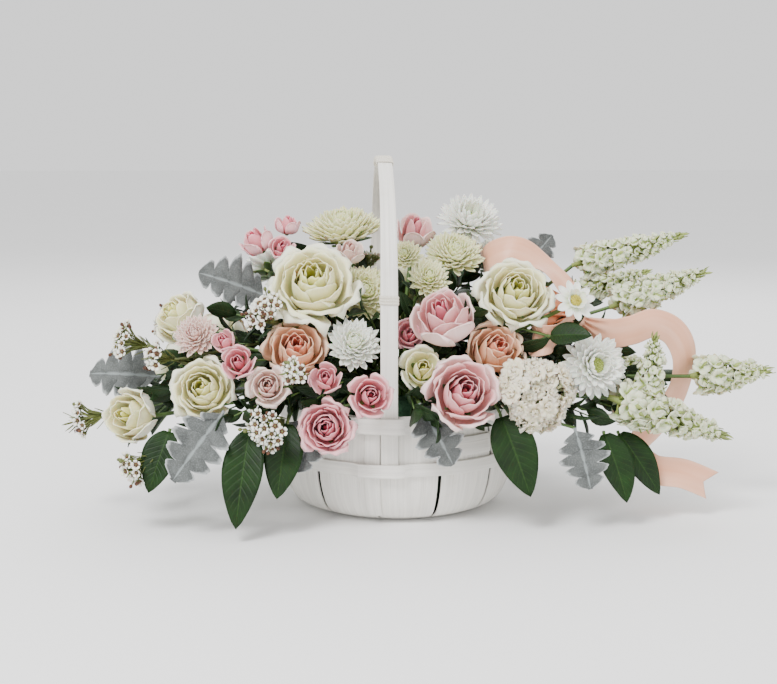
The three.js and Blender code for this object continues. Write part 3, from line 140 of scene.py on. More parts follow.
# name: twigs of (tip, flowers, spread, needles)
WAX = {
    "wax_flower_left": [
        ((-262, -66, 168), 3, 26, 0), ((-228, -92, 156), 2, 18, 0),
        ((-303, -54, 88), 3, 24, 4), ((-248, -124, 57), 3, 22, 0),
    ],
    "wax_flower_front": [((-129, -156, 96), 4, 28, 0), ((-100, -160, 152), 2, 14, 0), ((-131, -99, 202), 4, 26, 0)],
    "wax_flower_back": [((-236, 70, 170), 3, 26, 0), ((-120, 138, 116), 3, 28, 0), ((-30, 66, 236), 3, 24, 0)],
}
# name: leaves of (foot, tip, width, up)
DUSTY = {
    "dusty_miller_left": [
        ((-226, -36, 126), (-290, -34, 134), 50, (0.1, -0.75, 0.6)),
        ((-160, -128, 108), (-204, -152, 55), 46, (-0.1, -0.95, 0.3)),
        ((-128, -20, 200), (-184, -36, 228), 52, (-0.2, -0.7, 0.7)),
    ],
    "dusty_miller_front": [
        ((-76, -112, 106), (-96, -136, 58), 38, (-0.2, -0.95, 0.3)),
        ((14, -120, 112), (44, -136, 62), 42, (0.2, -0.95, 0.25)),
    ],
    "dusty_miller_right": [
        ((152, -120, 88), (164, -146, 42), 42, (0.15, -0.95, 0.3)),
        ((118, 14, 214), (152, 16, 256), 32, (0.1, -0.8, 0.5)),
    ],
    "dusty_miller_back": [
        ((-140, 106, 110), (-190, 138, 72), 46, (-0.2, 0.9, 0.4)),
        ((12, 118, 118), (20, 150, 66), 42, (0, 0.95, 0.35)),
    ],
}
BROAD = {
    "broad_leaves_left": [
        ((-136, -128, 92), (-149, -166, 18), 36, (-0.1, -0.9, 0.35)),
        ((-104, -118, 96), (-112, -152, 40), 34, (0.1, -0.9, 0.35)),
        ((-208, -106, 88), (-226, -132, 42), 32, (-0.2, -0.9, 0.3)),
        ((-216, -12, 98), (-262, -8, 60), 38, (-0.5, 0, 0.8)),
        ((-204, 46, 98), (-246, 62, 58), 36, (-0.5, 0.4, 0.8)),
        ((-20, -62, 124), (-26, -100, 146), 36, (0, -0.5, 0.85)),
    ],
    "broad_leaves_right": [
        ((86, -116, 100), (110, -148, 38), 40, (0.1, -0.95, 0.3)),
        ((180, -108, 82), (200, -134, 28), 34, (0.3, -0.9, 0.3)),
        ((198, -88, 78), (234, -112, 30), 30, (0.2, -0.9, 0.4)),
        ((134, -94, 170), (164, -116, 176), 24, (0, -0.8, 0.6)),
        ((196, 2, 108), (246, 10, 78), 36, (0.5, 0, 0.8)),
        ((206, 44, 100), (250, 58, 62), 38, (0.5, 0.4, 0.8)),
    ],
    "broad_leaves_back": [
        ((-76, 116, 98), (-92, 152, 40), 38, (-0.1, 0.95, 0.3)),
        ((-24, 120, 98), (-26, 158, 44), 36, (0, 0.95, 0.3)),
        ((78, 118, 96), (82, 154, 42), 36, (0.1, 0.95, 0.3)),
        ((-66, 10, 212), (-106, 20, 250), 34, (-0.2, 0.5, 0.8)),
        ((126, 112, 92), (158, 144, 42), 38, (0.2, 0.9, 0.3)),
        ((54, 52, 196), (62, 96, 238), 34, (0, -0.6, 0.7)),
    ],
}
# name: points of the middle line, each with the way the ribbon's width points
RIBBON_RUNS = {
    "ribbon_upper_loop": [
        ((163, -54, 184), (0.3, 0.3, 0.9)), ((156, -42, 210), (0.5, 0.75, 0.4)),
        ((136, -34, 231), (0.3, 0.8, 0.5)), ((110, -34, 243), (0.1, 0.3, 0.9)),
        ((92, -30, 241), (-0.1, 0.5, 0.85)), ((80, -20, 229), (-0.1, 0.75, 0.6)),
        ((90, -8, 214), (0.2, 0.7, 0.7)), ((118, -12, 204), (0.3, 0.4, 0.9)),
        ((146, -28, 190), (0.3, 0.2, 0.9)), ((163, -48, 181), (0.3, 0.1, 0.9)),
    ],
    "ribbon_lower_loop": [
        ((163, -54, 183), (0.3, 0, 0.95)), ((150, -76, 176), (0.45, -0.1, 0.9)),
        ((134, -88, 168), (0.4, -0.1, 0.9)), ((120, -84, 164), (0.1, 0.3, 0.95)),
        ((120, -66, 168), (0.1, 0.2, 0.95)), ((138, -54, 175), (0.2, 0.1, 0.95)),
        ((160, -50, 181), (0.3, 0, 0.95)),
    ],
    "ribbon_right_loop": [
        ((165, -53, 182), (0.1, 0, 1)), ((192, -54, 168), (-0.2, 0, 1)), ((214, -56, 170), (-0.1, 0.1, 1)),
        ((236, -52, 176), (0.15, 0.1, 1)), ((258, -44, 166), (0.7, 0.2, 0.75)),
        ((270, -38, 142), (0.9, 0.35, 0.2)), ((264, -36, 108), (0.8, 0.5, -0.3)),
        ((240, -52, 80), (0.4, 0.3, -0.85)), ((218, -66, 62), (-0.1, -0.1, -1)),
        ((230, -86, 46), (-0.3, -0.1, -0.95)), ((258, -92, 42), (-0.25, -0.1, -0.95)),
        ((286, -90, 30), (-0.6, -0.1, -0.8)),
    ],
}

# petal colours beside the main one: the foot, yellower and darkened as painted shade; the lip; and the heart, a deeper
# colour darkened in part as painted shade
PETAL_COLORS = {
    "cream": ((0.60, 0.62, 0.20), (0.93, 0.90, 0.73), (0.72, 0.70, 0.16)),
    "white": ((0.48, 0.58, 0.20), (0.93, 0.93, 0.88), (0.56, 0.66, 0.20)),
    "blush": ((0.54, 0.38, 0.26), (0.86, 0.70, 0.63), (0.56, 0.24, 0.20)),
    "pink": ((0.74, 0.36, 0.30), (0.92, 0.68, 0.65), (0.62, 0.08, 0.15)),
    "rose_pink": ((0.50, 0.12, 0.15), (0.88, 0.52, 0.54), (0.48, 0.03, 0.08)),
    "peach": ((0.72, 0.40, 0.18), (0.88, 0.62, 0.45), (0.64, 0.11, 0.05)),
    "green_cream": ((0.36, 0.46, 0.08), (0.87, 0.86, 0.60), (0.48, 0.58, 0.10)),
    "wax": ((0.50, 0.46, 0.26), (0.92, 0.90, 0.84), (0.20, 0.03, 0.03)),
    "spike": ((0.32, 0.44, 0.09), (0.85, 0.86, 0.70), (0.36, 0.50, 0.09)),
    "stock": ((0.40, 0.42, 0.14), (0.88, 0.80, 0.70), (0.42, 0.42, 0.12)),
}


def mm(values):
    """A point or length in mm, in metres."""
    return Vector(values) * MM if hasattr(values, "__len__") else values * MM


def lerp(a, b, t):
    return a + (b - a) * t


def clamp(x, low=0.0, high=1.0):
    return max(low, min(high, x))


def smoothstep(x, low, high):
    t = clamp((x - low) / (high - low))
    return t * t * (3 - 2 * t)


def facing(at, face):
    """The way a head faces; without one it looks outwards from the mound."""
    if face:
        return Vector(face).normalized()
    x, y, z = at
    return Vector((x / 330**2, y / 150**2, (z - 88) / 190**2)).normalized()


def pose_at(position, face, roll=0.0):
    """The matrix that stands a head on a point with its own +Z turned to face a direction."""
    z = Vector(face).normalized()
    start = Vector((1, 0, 0)) if abs(z.z) > 0.98 else UP
    x = start.cross(z).normalized()
    turned = Matrix((x, z.cross(x), z)).transposed().to_4x4()
    return Matrix.Translation(position) @ turned @ Matrix.Rotation(roll, 4, "Z")


def sizes():
    return bpy.context.scene.basket_sizes


def tint(name):
    """A colour that the user can set."""
    return tuple(getattr(bpy.context.scene.flower_colors, name))


def shaded(color, share):
    return tuple(share * c for c in color)


# ---------------------------------------------------------------- shader maths
class Value:
    """A socket that adds Math nodes when it is used in an expression."""

    def __init__(self, tree, socket):
        self.tree, self.socket = tree, socket

    def math(self, operation, *others, flip=False):
        node = self.tree.nodes.new("ShaderNodeMath")
        node.operation = operation
        terms = [self, *others]
        if flip:
            terms.reverse()
        for slot, term in zip(node.inputs, terms):
            if isinstance(term, Value):
                self.tree.links.new(term.socket, slot)
            else:
                slot.default_value = term
        return Value(self.tree, node.outputs[0])

    def __add__(self, other): return self.math("ADD", other)
    def __sub__(self, other): return self.math("SUBTRACT", other)
    def __mul__(self, other): return self.math("MULTIPLY", other)
    def __truediv__(self, other): return self.math("DIVIDE", other)
    def __pow__(self, other): return self.math("POWER", other)
    def __rsub__(self, other): return self.math("SUBTRACT", other, flip=True)
    def __rtruediv__(self, other): return self.math("DIVIDE", other, flip=True)
    __radd__ = __add__
    __rmul__ = __mul__

    def absolute(self): return self.math("ABSOLUTE")
    def sine(self): return self.math("SINE")
    def within(self): return self.math("MINIMUM", 1.0).math("MAXIMUM", 0.0)

    def step(self, low, high):
        """0 below low, 1 above high."""
        return ((self - low) / (high - low)).within()


class Finish:
    """A material with one Principled shader, and the nodes that feed it."""

    def __init__(self, name, roughness=0.5, **constants):
        self.material = bpy.data.materials.new(name)
        self.material.use_nodes = True
        self.tree = self.material.node_tree
        self.shader = self.tree.nodes["Principled BSDF"]
        self.shader.inputs["Roughness"].default_value = roughness
        for label, value in constants.items():
            self.shader.inputs[label.replace("_", " ").title().replace("Ior", "IOR")].default_value = value

    def node(self, kind, settings=(), out=0, **inputs):
        """Any node: its settings first, then the values or links of its sockets."""
        made = self.tree.nodes.new(kind)
        for label, value in dict(settings).items():
            if label == "stops":
                ramp = made.color_ramp
                while len(ramp.elements) < len(value):
                    ramp.elements.new(1.0)
                for element, (position, color) in zip(ramp.elements, value):
                    element.position, element.color = position, (*color, 1.0)
            else:
                setattr(made, label, value)
        for label, value in inputs.items():
            key = int(label[1:]) if label[0] == "i" and label[1:].isdigit() else label
            slot = made.inputs[key]
            if isinstance(value, Value):
                self.tree.links.new(value.socket, slot)
            else:
                slot.default_value = value
        return Value(self.tree, made.outputs[out])

    def place(self): return self.node("ShaderNodeTexCoord", out="Object")
    def uv(self, layer="blade"): return self.node("ShaderNodeUVMap", {"uv_map": layer})
    def split(self, vector, axis):
        return self.node("ShaderNodeSeparateXYZ", out=axis, Vector=vector)

    def attribute(self, name):
        return self.node("ShaderNodeAttribute", {"attribute_name": name}, out="Fac")

    def stretched(self, vector, scale):
        return self.node("ShaderNodeMapping", Vector=vector, Scale=scale)

    def noise(self, vector, scale, detail=3.0, distortion=0.0):
        return self.node("ShaderNodeTexNoise", Vector=vector, Scale=scale, Detail=detail, Distortion=distortion)

    def wave(self, vector, scale, distortion=1.0, detail=2.0, direction="X"):
        return self.node("ShaderNodeTexWave", {"bands_direction": direction}, out="Fac",
                         Vector=vector, Scale=scale, Distortion=distortion, Detail=detail)

    def mix(self, factor, first, second, blend="MIX"):
        """A colour mix; a colour is a tuple or a socket."""
        first, second = ((*c, 1.0) if isinstance(c, tuple) else c for c in (first, second))
        settings = {"data_type": "RGBA", "blend_type": blend, "clamp_factor": True}
        return self.node("ShaderNodeMix", settings, out=2, i0=factor, i6=first, i7=second)

    def ramp(self, factor, stops):
        return self.node("ShaderNodeValToRGB", {"stops": stops}, Fac=factor)

    def bump(self, height, strength, distance_mm):
        return self.node("ShaderNodeBump", Strength=strength, Distance=mm(distance_mm), Height=height)

    def feed(self, **inputs):
        for label, value in inputs.items():
            self.tree.links.new(value.socket, self.shader.inputs[label.replace("_", " ")])
        return self.material


_finishes = {}


def finish(name, make, *args):
    """One material for each name, made the first time it is asked for."""
    if name not in _finishes:
        _finishes[name] = make(name, *args)
    return _finishes[name]


def petal_finish(name, slot):
    """Petals: yellower at the foot and darker there as painted shade, pale at the lip, with fine veins and soft
    blotches; towards the middle the heart colour deepens them, darkened in part as painted shade.
    """
    base, tip, heart = PETAL_COLORS[slot]
    body = tint(slot)
    f = Finish(name, 0.62, sheen_weight=0.15, subsurface_weight=0.12, subsurface_scale=0.004)
    uv = f.uv()
    across, along = f.split(uv, "X"), f.split(uv, "Y")
    blotch = f.noise(f.place(), 55.0, 3.0)
    veins = f.noise(f.stretched(uv, (26.0, 1.6, 1.0)), 1.0, 4.0, 0.4)
    depth = f.attribute("heart") + (blotch - 0.5) * 0.25
    # the heart value shifts a petal from its pale lip colour to its deeper heart colour, darkened in part as painted
    # shade
    color = f.ramp(depth, [(0.0, tip), (0.38, body), (0.62, body), (0.95, heart)])
    # painted shade: the yellower, darker foot colour fades in towards the foot of each petal
    color = f.mix((1.0 - along).step(0.50, 0.98) * 0.8, color, base)
    color = f.mix(veins.step(0.42, 0.75) * 0.16, color, shaded(body, 0.72))
    edge = ((across - 0.5).absolute() * 2.0).step(0.8, 1.0) * along.step(0.3, 0.9)
    color = f.mix((edge + along.step(0.92, 1.0)).within() * 0.45, color, tip)
    height = veins * 0.5 + f.noise(f.place(), 240.0, 2.0) * 0.5
    rough = 0.54 + blotch * 0.18
    return f.feed(Base_Color=color, Roughness=rough, Normal=f.bump(height, 0.35, 0.5))


def stem_finish(name, pale=None):
    """Green stems and calyxes: long fibres and a paler bloom."""
    pale = pale or tint("stem")
    shade = shaded(pale, 0.42)
    f = Finish(name, 0.5, subsurface_weight=0.05, subsurface_scale=0.002)
    fibres = f.noise(f.stretched(f.place(), (1.0, 1.0, 0.15)), 420.0, 3.0)
    patches = f.noise(f.place(), 45.0, 3.0)
    color = f.mix(patches.step(0.3, 0.75), shade, pale)
    color = f.mix(fibres.step(0.5, 0.85) * 0.4, color, shaded(pale, 1.25))
    rough = 0.42 + patches * 0.25
    return f.feed(Base_Color=color, Roughness=rough, Normal=f.bump(fibres, 0.4, 0.4))


def broad_leaf_finish(name, light=None):
    """A dark glossy leaf with a pale midrib and side veins."""
    light = light or tint("broad_leaf")
    dark, vein = shaded(light, 0.35), (2.6 * light[0], 1.7 * light[1], 2.6 * light[2])
    f = Finish(name, 0.4, specular_ior_level=0.2, coat_weight=0.04, coat_roughness=0.3,
               subsurface_weight=0.05, subsurface_scale=0.003)
    uv = f.uv()
    across = (f.split(uv, "X") - 0.5).absolute() * 2.0
    along = f.split(uv, "Y")
    blotch = f.noise(f.place(), 60.0, 4.0)
    midrib = 1.0 - across.step(0.02, 0.07)
    side = ((along * 11.0 - across * 2.4) * math.tau).sine() * 0.5 + 0.5
    veins = side.step(0.9, 1.0) * (1.0 - across.step(0.75, 0.98))
    color = f.mix(blotch.step(0.3, 0.72), dark, light)
    color = f.mix(veins * 0.26 + midrib * 0.6, color, vein)
    height = 1.0 - side.step(0.7, 1.0) * 0.6 - midrib * 0.8 + f.noise(f.place(), 350.0, 2.0) * 0.25
    rough = 0.40 + blotch * 0.22
    return f.feed(Base_Color=color, Roughness=rough, Normal=f.bump(height, 0.5, 0.7))


def silver_leaf_finish(name):
    """Felted grey-green leaf: a fine nap, pale veins and lighter edges."""
    f = Finish(name, 0.9, sheen_weight=0.12, sheen_roughness=0.5)
    uv = f.uv()
    across = (f.split(uv, "X") - 0.5).absolute() * 2.0
    felt = f.noise(f.place(), 900.0, 2.0)
    patches = f.noise(f.place(), 70.0, 3.0)
    color = f.mix(patches.step(0.3, 0.7), shaded(tint("silver_leaf"), 0.45), tint("silver_leaf"))
    color = f.mix(felt.step(0.45, 0.75) * 0.3, color, (0.33, 0.36, 0.36))
    color = f.mix(across.step(0.84, 1.0) * 0.8, color, (0.55, 0.58, 0.58))
    color = f.mix((1.0 - across.step(0.03, 0.10)) * 0.4, color, (0.44, 0.50, 0.50))
    height = felt + patches * 0.4 - (1.0 - across.step(0.0, 0.12)) * 0.6
    return f.feed(Base_Color=color, Normal=f.bump(height, 0.6, 0.6), Roughness=0.8 + felt * 0.2)


def painted_splint_finish(name):
    """Whitewashed wood: grain along the splint, brush marks, and thin grey wear in the grain."""
    f = Finish(name, 0.62)
    uv = f.uv()
    grain = f.noise(f.stretched(uv, (60.0, 2.2, 1.0)), 1.0, 6.0, 0.3)
    brush = f.noise(f.stretched(uv, (18.0, 1.0, 1.0)), 1.0, 3.0)
    dirt = f.noise(f.place(), 38.0, 4.0)
    color = f.mix(brush.step(0.35, 0.7), shaded(tint("paint"), 0.84), tint("paint"))
    color = f.mix(grain.step(0.58, 0.78) * 0.55, color, (0.46, 0.42, 0.35))
    color = f.mix(dirt.step(0.58, 0.82) * 0.35, color, (0.58, 0.53, 0.44))
    height = grain * 0.7 + brush * 0.3
    rough = 0.55 + grain * 0.2
    return f.feed(Base_Color=color, Roughness=rough, Normal=f.bump(height, 0.4, 0.5))


def reed_finish(name):
    """Binding reed: natural cane under thin white paint."""
    f = Finish(name, 0.55)
    uv = f.uv()
    strands = f.noise(f.stretched(uv, (3.0, 60.0, 1.0)), 1.0, 4.0)
    color = f.mix(strands.step(0.4, 0.7), (0.62, 0.57, 0.46), (0.80, 0.77, 0.70))
    height = strands
    return f.feed(Base_Color=color, Normal=f.bump(height, 0.4, 0.4), Roughness=0.5 + strands * 0.2)


def foam_finish(name):
    """Floral foam: green, darkened as painted shade under the blooms, with open pores painted darker as painted shade.
    """
    f = Finish(name, 0.95)
    pores = f.noise(f.place(), 500.0, 3.0)
    patches = f.noise(f.place(), 30.0, 3.0)
    # painted shade: the foam's green is darkened for its place deep under the blooms
    color = f.mix(patches, (0.03, 0.10, 0.05), (0.07, 0.17, 0.08))
    # painted shade: the open pores are painted darker, as shade in their holes
    color = f.mix(pores.step(0.52, 0.7) * 0.6, color, (0.015, 0.05, 0.025))
    return f.feed(Base_Color=color, Normal=f.bump(pores, 0.8, 0.8), Roughness=0.85 + pores * 0.12)


def liner_finish(name):
    """Moulded green plastic bowl with faint flow marks."""
    f = Finish(name, 0.42)
    flow = f.noise(f.stretched(f.place(), (1.0, 1.0, 0.2)), 40.0, 3.0)
    color = f.mix(flow, (0.012, 0.030, 0.016), (0.022, 0.050, 0.026))
    return f.feed(Base_Color=color, Roughness=0.36 + flow * 0.16, Normal=f.bump(flow, 0.1, 0.3))


def satin_finish(name, share=1.0):
    """Peach satin: fine weave across, a woven edge, and soft streaks along the run painted lighter and darker as
    painted sheen; a share below one gives a darker, deeper copy as painted shade.
    """
    peach = tint("ribbon")
    # painted shade: a share below one darkens the peach and deepens it towards orange, for the ribbon's inner side
    peach_with_painted_shade = (peach[0], peach[1] * share, peach[2] * share**2)
    f = Finish(name, 0.34, sheen_weight=0.35, anisotropic=0.4)
    uv = f.uv()
    across, along = f.split(uv, "X"), f.split(uv, "Y")
    weave = (across * 340.0).sine() * 0.5 + 0.5
    picks = (along * 5200.0).sine() * 0.5 + 0.5
    painted_sheen_streak = f.noise(f.stretched(uv, (2.5, 2.0, 1.0)), 1.0, 2.0)
    edge = ((across - 0.5).absolute() * 2.0).step(0.90, 0.94)
    # painted sheen: soft streaks along the run turn the satin lighter and darker, as its sheen would
    color = f.mix(painted_sheen_streak.step(0.3, 0.75), (0.89 * peach_with_painted_shade[0], 0.70 * peach_with_painted_shade[1], 0.61 * peach_with_painted_shade[2]), peach_with_painted_shade)
    color = f.mix(edge * 0.5, color, shaded(peach_with_painted_shade, 0.96))
    height = weave * 0.5 + picks * 0.3 + edge * 1.2
    rough = 0.28 + painted_sheen_streak * 0.14 + edge * 0.2
    return f.feed(Base_Color=color, Roughness=rough, Normal=f.bump(height, 0.25, 0.2))


def eye_finish(name, dark, bright):
    """A flower's middle: grains of two colours."""
    f = Finish(name, 0.8)
    grains = f.noise(f.place(), 900.0, 2.0)
    color = f.mix(grains.step(0.4, 0.65), dark, bright)
    return f.feed(Base_Color=color, Normal=f.bump(grains, 0.9, 0.6), Roughness=0.7 + grains * 0.2)


# ---------------------------------------------------------------- building a piece
class Piece:
    """One piece's mesh while it grows: thin blades, which get their thickness at the end, and closed shapes."""

    def __init__(self, name, materials, thickness=0.0005, two_sided=False):
        self.name, self.materials, self.thickness, self.two_sided = name, materials, thickness, two_sided
        self.parts = []
        self.start()

    def start(self):
        self.bm = bmesh.new()
        self.uv = self.bm.loops.layers.uv.new("blade")
        # the heart value deepens a petal's colour towards the middle of its bloom, darkened there in part as painted
        # shade
        self.heart = self.bm.verts.layers.float.new("heart")
        self.thin = self.bm.faces.layers.int.new("thin")

    def blade(self, columns, rows, place, heart=0.0, material=0, grain=(1.0, 1.0)):
        """A grid shaped by place(across -1..1, along 0..1); grain is how often its pattern repeats."""
        made = bmesh.ops.create_grid(self.bm, x_segments=columns, y_segments=rows, size=1.0)
        verts = made["verts"]
        for face in {face for vert in verts for face in vert.link_faces}:
            face.smooth = True
            face.material_index = material
            face[self.thin] = 1
            for loop in face.loops:
                across, along = (loop.vert.co.x + 1) / 2, (loop.vert.co.y + 1) / 2
                loop[self.uv].uv = (across * grain[0], along * grain[1])
        for vert in verts:
            vert.co = place(vert.co.x, (vert.co.y + 1) / 2)
            vert[self.heart] = heart
        return verts

    def stamp(self, template, matrix):
        """A copy of a template mesh, placed by a matrix."""
        if len(self.bm.verts) > 2500:
            self.keep()
        start = len(self.bm.verts)
        self.bm.from_mesh(template)
        self.bm.verts.ensure_lookup_table()
        bmesh.ops.transform(self.bm, matrix=matrix, verts=self.bm.verts[start:])

    def loft(self, poses, sides, material, heart=0.0, grain=0.0):
        """A closed shape: a ring of so many sides, extruded through a row of poses and capped at both ends."""
        part = bmesh.new()
        uv = part.loops.layers.uv.new("blade")
        # the shape's heart value: it deepens the petal colour, darkened in part as painted shade
        heart_color_and_shade = part.verts.layers.float.new("heart")
        part.faces.layers.int.new("thin")
        bmesh.ops.create_circle(part, cap_ends=True, segments=sides, radius=1.0, matrix=poses[0])
        for before, after in zip(poses, poses[1:]):
            rim = [edge for edge in part.edges if edge.is_boundary]
            grown = bmesh.ops.extrude_edge_only(part, edges=rim)["geom"]
            new = [item for item in grown if isinstance(item, bmesh.types.BMVert)]
            bmesh.ops.transform(part, matrix=after @ before.inverted(), verts=new)
        bmesh.ops.holes_fill(part, edges=[edge for edge in part.edges if edge.is_boundary], sides=0)
        bmesh.ops.recalc_face_normals(part, faces=part.faces[:])
        for vert in part.verts:
            vert[heart_color_and_shade] = heart
        for face in part.faces:
            face.smooth, face.material_index = True, material
            for loop in face.loops:
                loop[uv].uv = (loop.vert.co.x * grain, loop.vert.co.y * grain) if grain else (0.5, 0.3)
        self.add(part)

    def add(self, part):
        """Takes a small bmesh into the piece."""
        mesh = bpy.data.meshes.new("part")
        part.to_mesh(mesh)
        part.free()
        self.bm.from_mesh(mesh)
        bpy.data.meshes.remove(mesh)

    def tube(self, path, radii, sides=7, material=1):
        """A closed round tube along a path, without a twist."""
        last = len(path) - 1
        ways = [path[min(i + 1, last)] - path[max(i - 1, 0)] for i in range(last + 1)]
        turned = pose_at((0, 0, 0), ways[0]).to_3x3()
        poses = []
        for point, radius, before, way in zip(path, radii, [ways[0], *ways], ways):
            turned = before.rotation_difference(way).to_matrix() @ turned
            poses.append(Matrix.Translation(point) @ turned.to_4x4() @ Matrix.Scale(radius, 4))
        self.loft(poses, sides, material)

    def bud(self, matrix, profile, sides=12, material=1, heart=0.0, grain=0.0):
        """A closed turned shape: rings of (radius, height) from its foot to its top."""
        poses = [matrix @ Matrix.Translation((0, 0, height)) @ Matrix.Scale(max(radius, 1e-4), 4)
                 for radius, height in profile]
        self.loft(poses, sides, material, heart, grain)

    def stems_of(self, node, heads, material=1):
        """The CAD node's stems: a merged copy of its mesh without its heads, drawn out to each head's foot.
        A head is (foot, the way it points, its radius, its length)."""
        bm = bmesh.new()
        bm.loops.layers.uv.new("blade")
        bm.from_mesh(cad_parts[node].data)
        bmesh.ops.remove_doubles(bm, verts=bm.verts[:], dist=2e-5)
        drop = self.clusters([v for v in bm.verts if any(self.inside(v.co, head) for head in heads)])
        bmesh.ops.delete(bm, geom=drop, context="VERTS")
        for loop in self.boundary_loops([edge for edge in bm.edges if edge.is_boundary]):
            ends = list({vert for edge in loop for vert in edge.verts})
            middle = sum((v.co for v in ends), Vector()) / len(ends)
            foot = min((head[0] for head in heads), key=lambda foot: (foot - middle).length)
            grown = bmesh.ops.extrude_edge_only(bm, edges=loop)["geom"]
            new = [item for item in grown if isinstance(item, bmesh.types.BMVert)]
            bmesh.ops.translate(bm, vec=foot - middle, verts=new)
        bmesh.ops.holes_fill(bm, edges=[edge for edge in bm.edges if edge.is_boundary], sides=0)
        self.mend(bm)
        bmesh.ops.recalc_face_normals(bm, faces=bm.faces[:])
        for face in bm.faces:
            face.smooth, face.material_index = True, material
        self.add(bm)

    @staticmethod
    def mend(bm):
        """Parts the edges that more than two faces share, closes what that opens, and takes out loose edges."""
        crowded = [edge for edge in bm.edges if len(edge.link_faces) > 2]
        if crowded:
            bmesh.ops.split_edges(bm, edges=crowded)
            bmesh.ops.edgeloop_fill(bm, edges=[edge for edge in bm.edges if edge.is_boundary])
        bmesh.ops.delete(bm, geom=[edge for edge in bm.edges if edge.is_wire], context="EDGES")

    @staticmethod
    def inside(point, head):
        foot, way, radius, length = head
        offset = point - foot
        along = offset.dot(way)
        return -0.1 * radius < along < 1.3 * length and (offset - way * along).length < 1.3 * radius

    @staticmethod
    def clusters(verts, reach=mm(5)):
        """The verts and all that short edges join to them, so that no ring of a stem is left in part."""
        found, queue = set(verts), list(verts)
        while queue:
            vert = queue.pop()
            for edge in vert.link_edges:
                other = edge.other_vert(vert)
                if other not in found and (other.co - vert.co).length < reach:
                    found.add(other)
                    queue.append(other)
        return list(found)

    @staticmethod
    def boundary_loops(edges):
        edges = set(edges)
        loops = []
        while edges:
            loop, queue = [], [edges.pop()]
            while queue:
                edge = queue.pop()
                loop.append(edge)
                for vert in edge.verts:
                    near = [other for other in vert.link_edges if other in edges]
                    edges.difference_update(near)
                    queue.extend(near)
            loops.append(loop)
        return loops

    def thicken(self):
        """Gives the blades their thickness: an extruded copy is moved out by half of it, and the blade in."""
        faces = [face for face in self.bm.faces if face[self.thin]]
        if not faces:
            return
        self.bm.normal_update()
        shift = {vert: vert.normal * (self.thickness / 2) for face in faces for vert in face.verts}
        edges = {edge for face in faces for edge in face.edges}
        grown = bmesh.ops.extrude_face_region(self.bm, geom=[*faces, *edges, *shift], use_keep_orig=True)["geom"]
        for item in grown:
            if isinstance(item, bmesh.types.BMVert):
                item.co += item.normal * (self.thickness / 2)
        for vert, way in shift.items():
            vert.co -= way
        # the moved-in faces of a two-sided piece take the second material: on the ribbon, the satin darkened as painted
        # shade
        if self.two_sided:
            for face in faces:
                face.material_index = 1

    def keep(self):
        """Thickens what has grown and puts it by as a mesh, so that the bmesh at work stays small."""
        self.thicken()
        part = bpy.data.meshes.new("part")
        self.bm.to_mesh(part)
        self.bm.free()
        self.parts.append(part)
        self.start()

    def object(self):
        """The piece as an object, its parts in one mesh."""
        self.keep()
        self.bm.free()
        whole = bmesh.new()
        for part in self.parts:
            whole.from_mesh(part)
            bpy.data.meshes.remove(part)
        mesh = bpy.data.meshes.new(self.name)
        whole.to_mesh(mesh)
        whole.free()
        for material in self.materials:
            mesh.materials.append(material)
        obj = bpy.data.objects.new(self.name, mesh)
        bpy.context.scene.collection.objects.link(obj)
        return obj

    def done(self, slot, *nodes, soft_edge_mm=0.0):
        """Hands the piece to the frame, in the place of its nodes if it has any."""
        obj = self.object()
        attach(obj, "root")
        if nodes:
            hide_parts(*nodes)
        if soft_edge_mm:
            edge = obj.modifiers.new("soft_edge", "BEVEL")
            edge.width, edge.segments, edge.limit_method = mm(soft_edge_mm), 2, "ANGLE"
        return obj


def template_blade(name, columns, rows, place, heart=0.0, material=0):
    """A single blade kept as a mesh, to be stamped many times."""
    piece = Piece(name, [])
    piece.blade(columns, rows, place, heart, material)
    mesh = bpy.data.meshes.new(name)
    piece.bm.to_mesh(mesh)
    piece.bm.free()
    return mesh


def calyx(piece, pose, radius, length, sepals=5, material=1):
    """The green cup under a bloom, with narrow sepals laid back along it."""
    piece.bud(pose, [(0.5 * radius, -0.3 * length), (radius, 0.1 * length), (0.8 * radius, 0.5 * length)], 10, material)
    for i in range(sepals):
        turn = math.tau * i / sepals

        def place(across, along, turn=turn):
            half = 0.42 * radius * math.sin(math.pi * (0.12 + 0.86 * along)) ** 0.8
            out = radius * (0.95 + 0.9 * math.sin(1.5 * along) + 0.5 * along**3)
            point = Vector((out, across * half, length * (0.1 + 1.25 * along * (1 - 0.35 * along))))
            return pose @ (Matrix.Rotation(turn, 3, "Z") @ point)

        piece.blade(3, 6, place, 0.0, material)


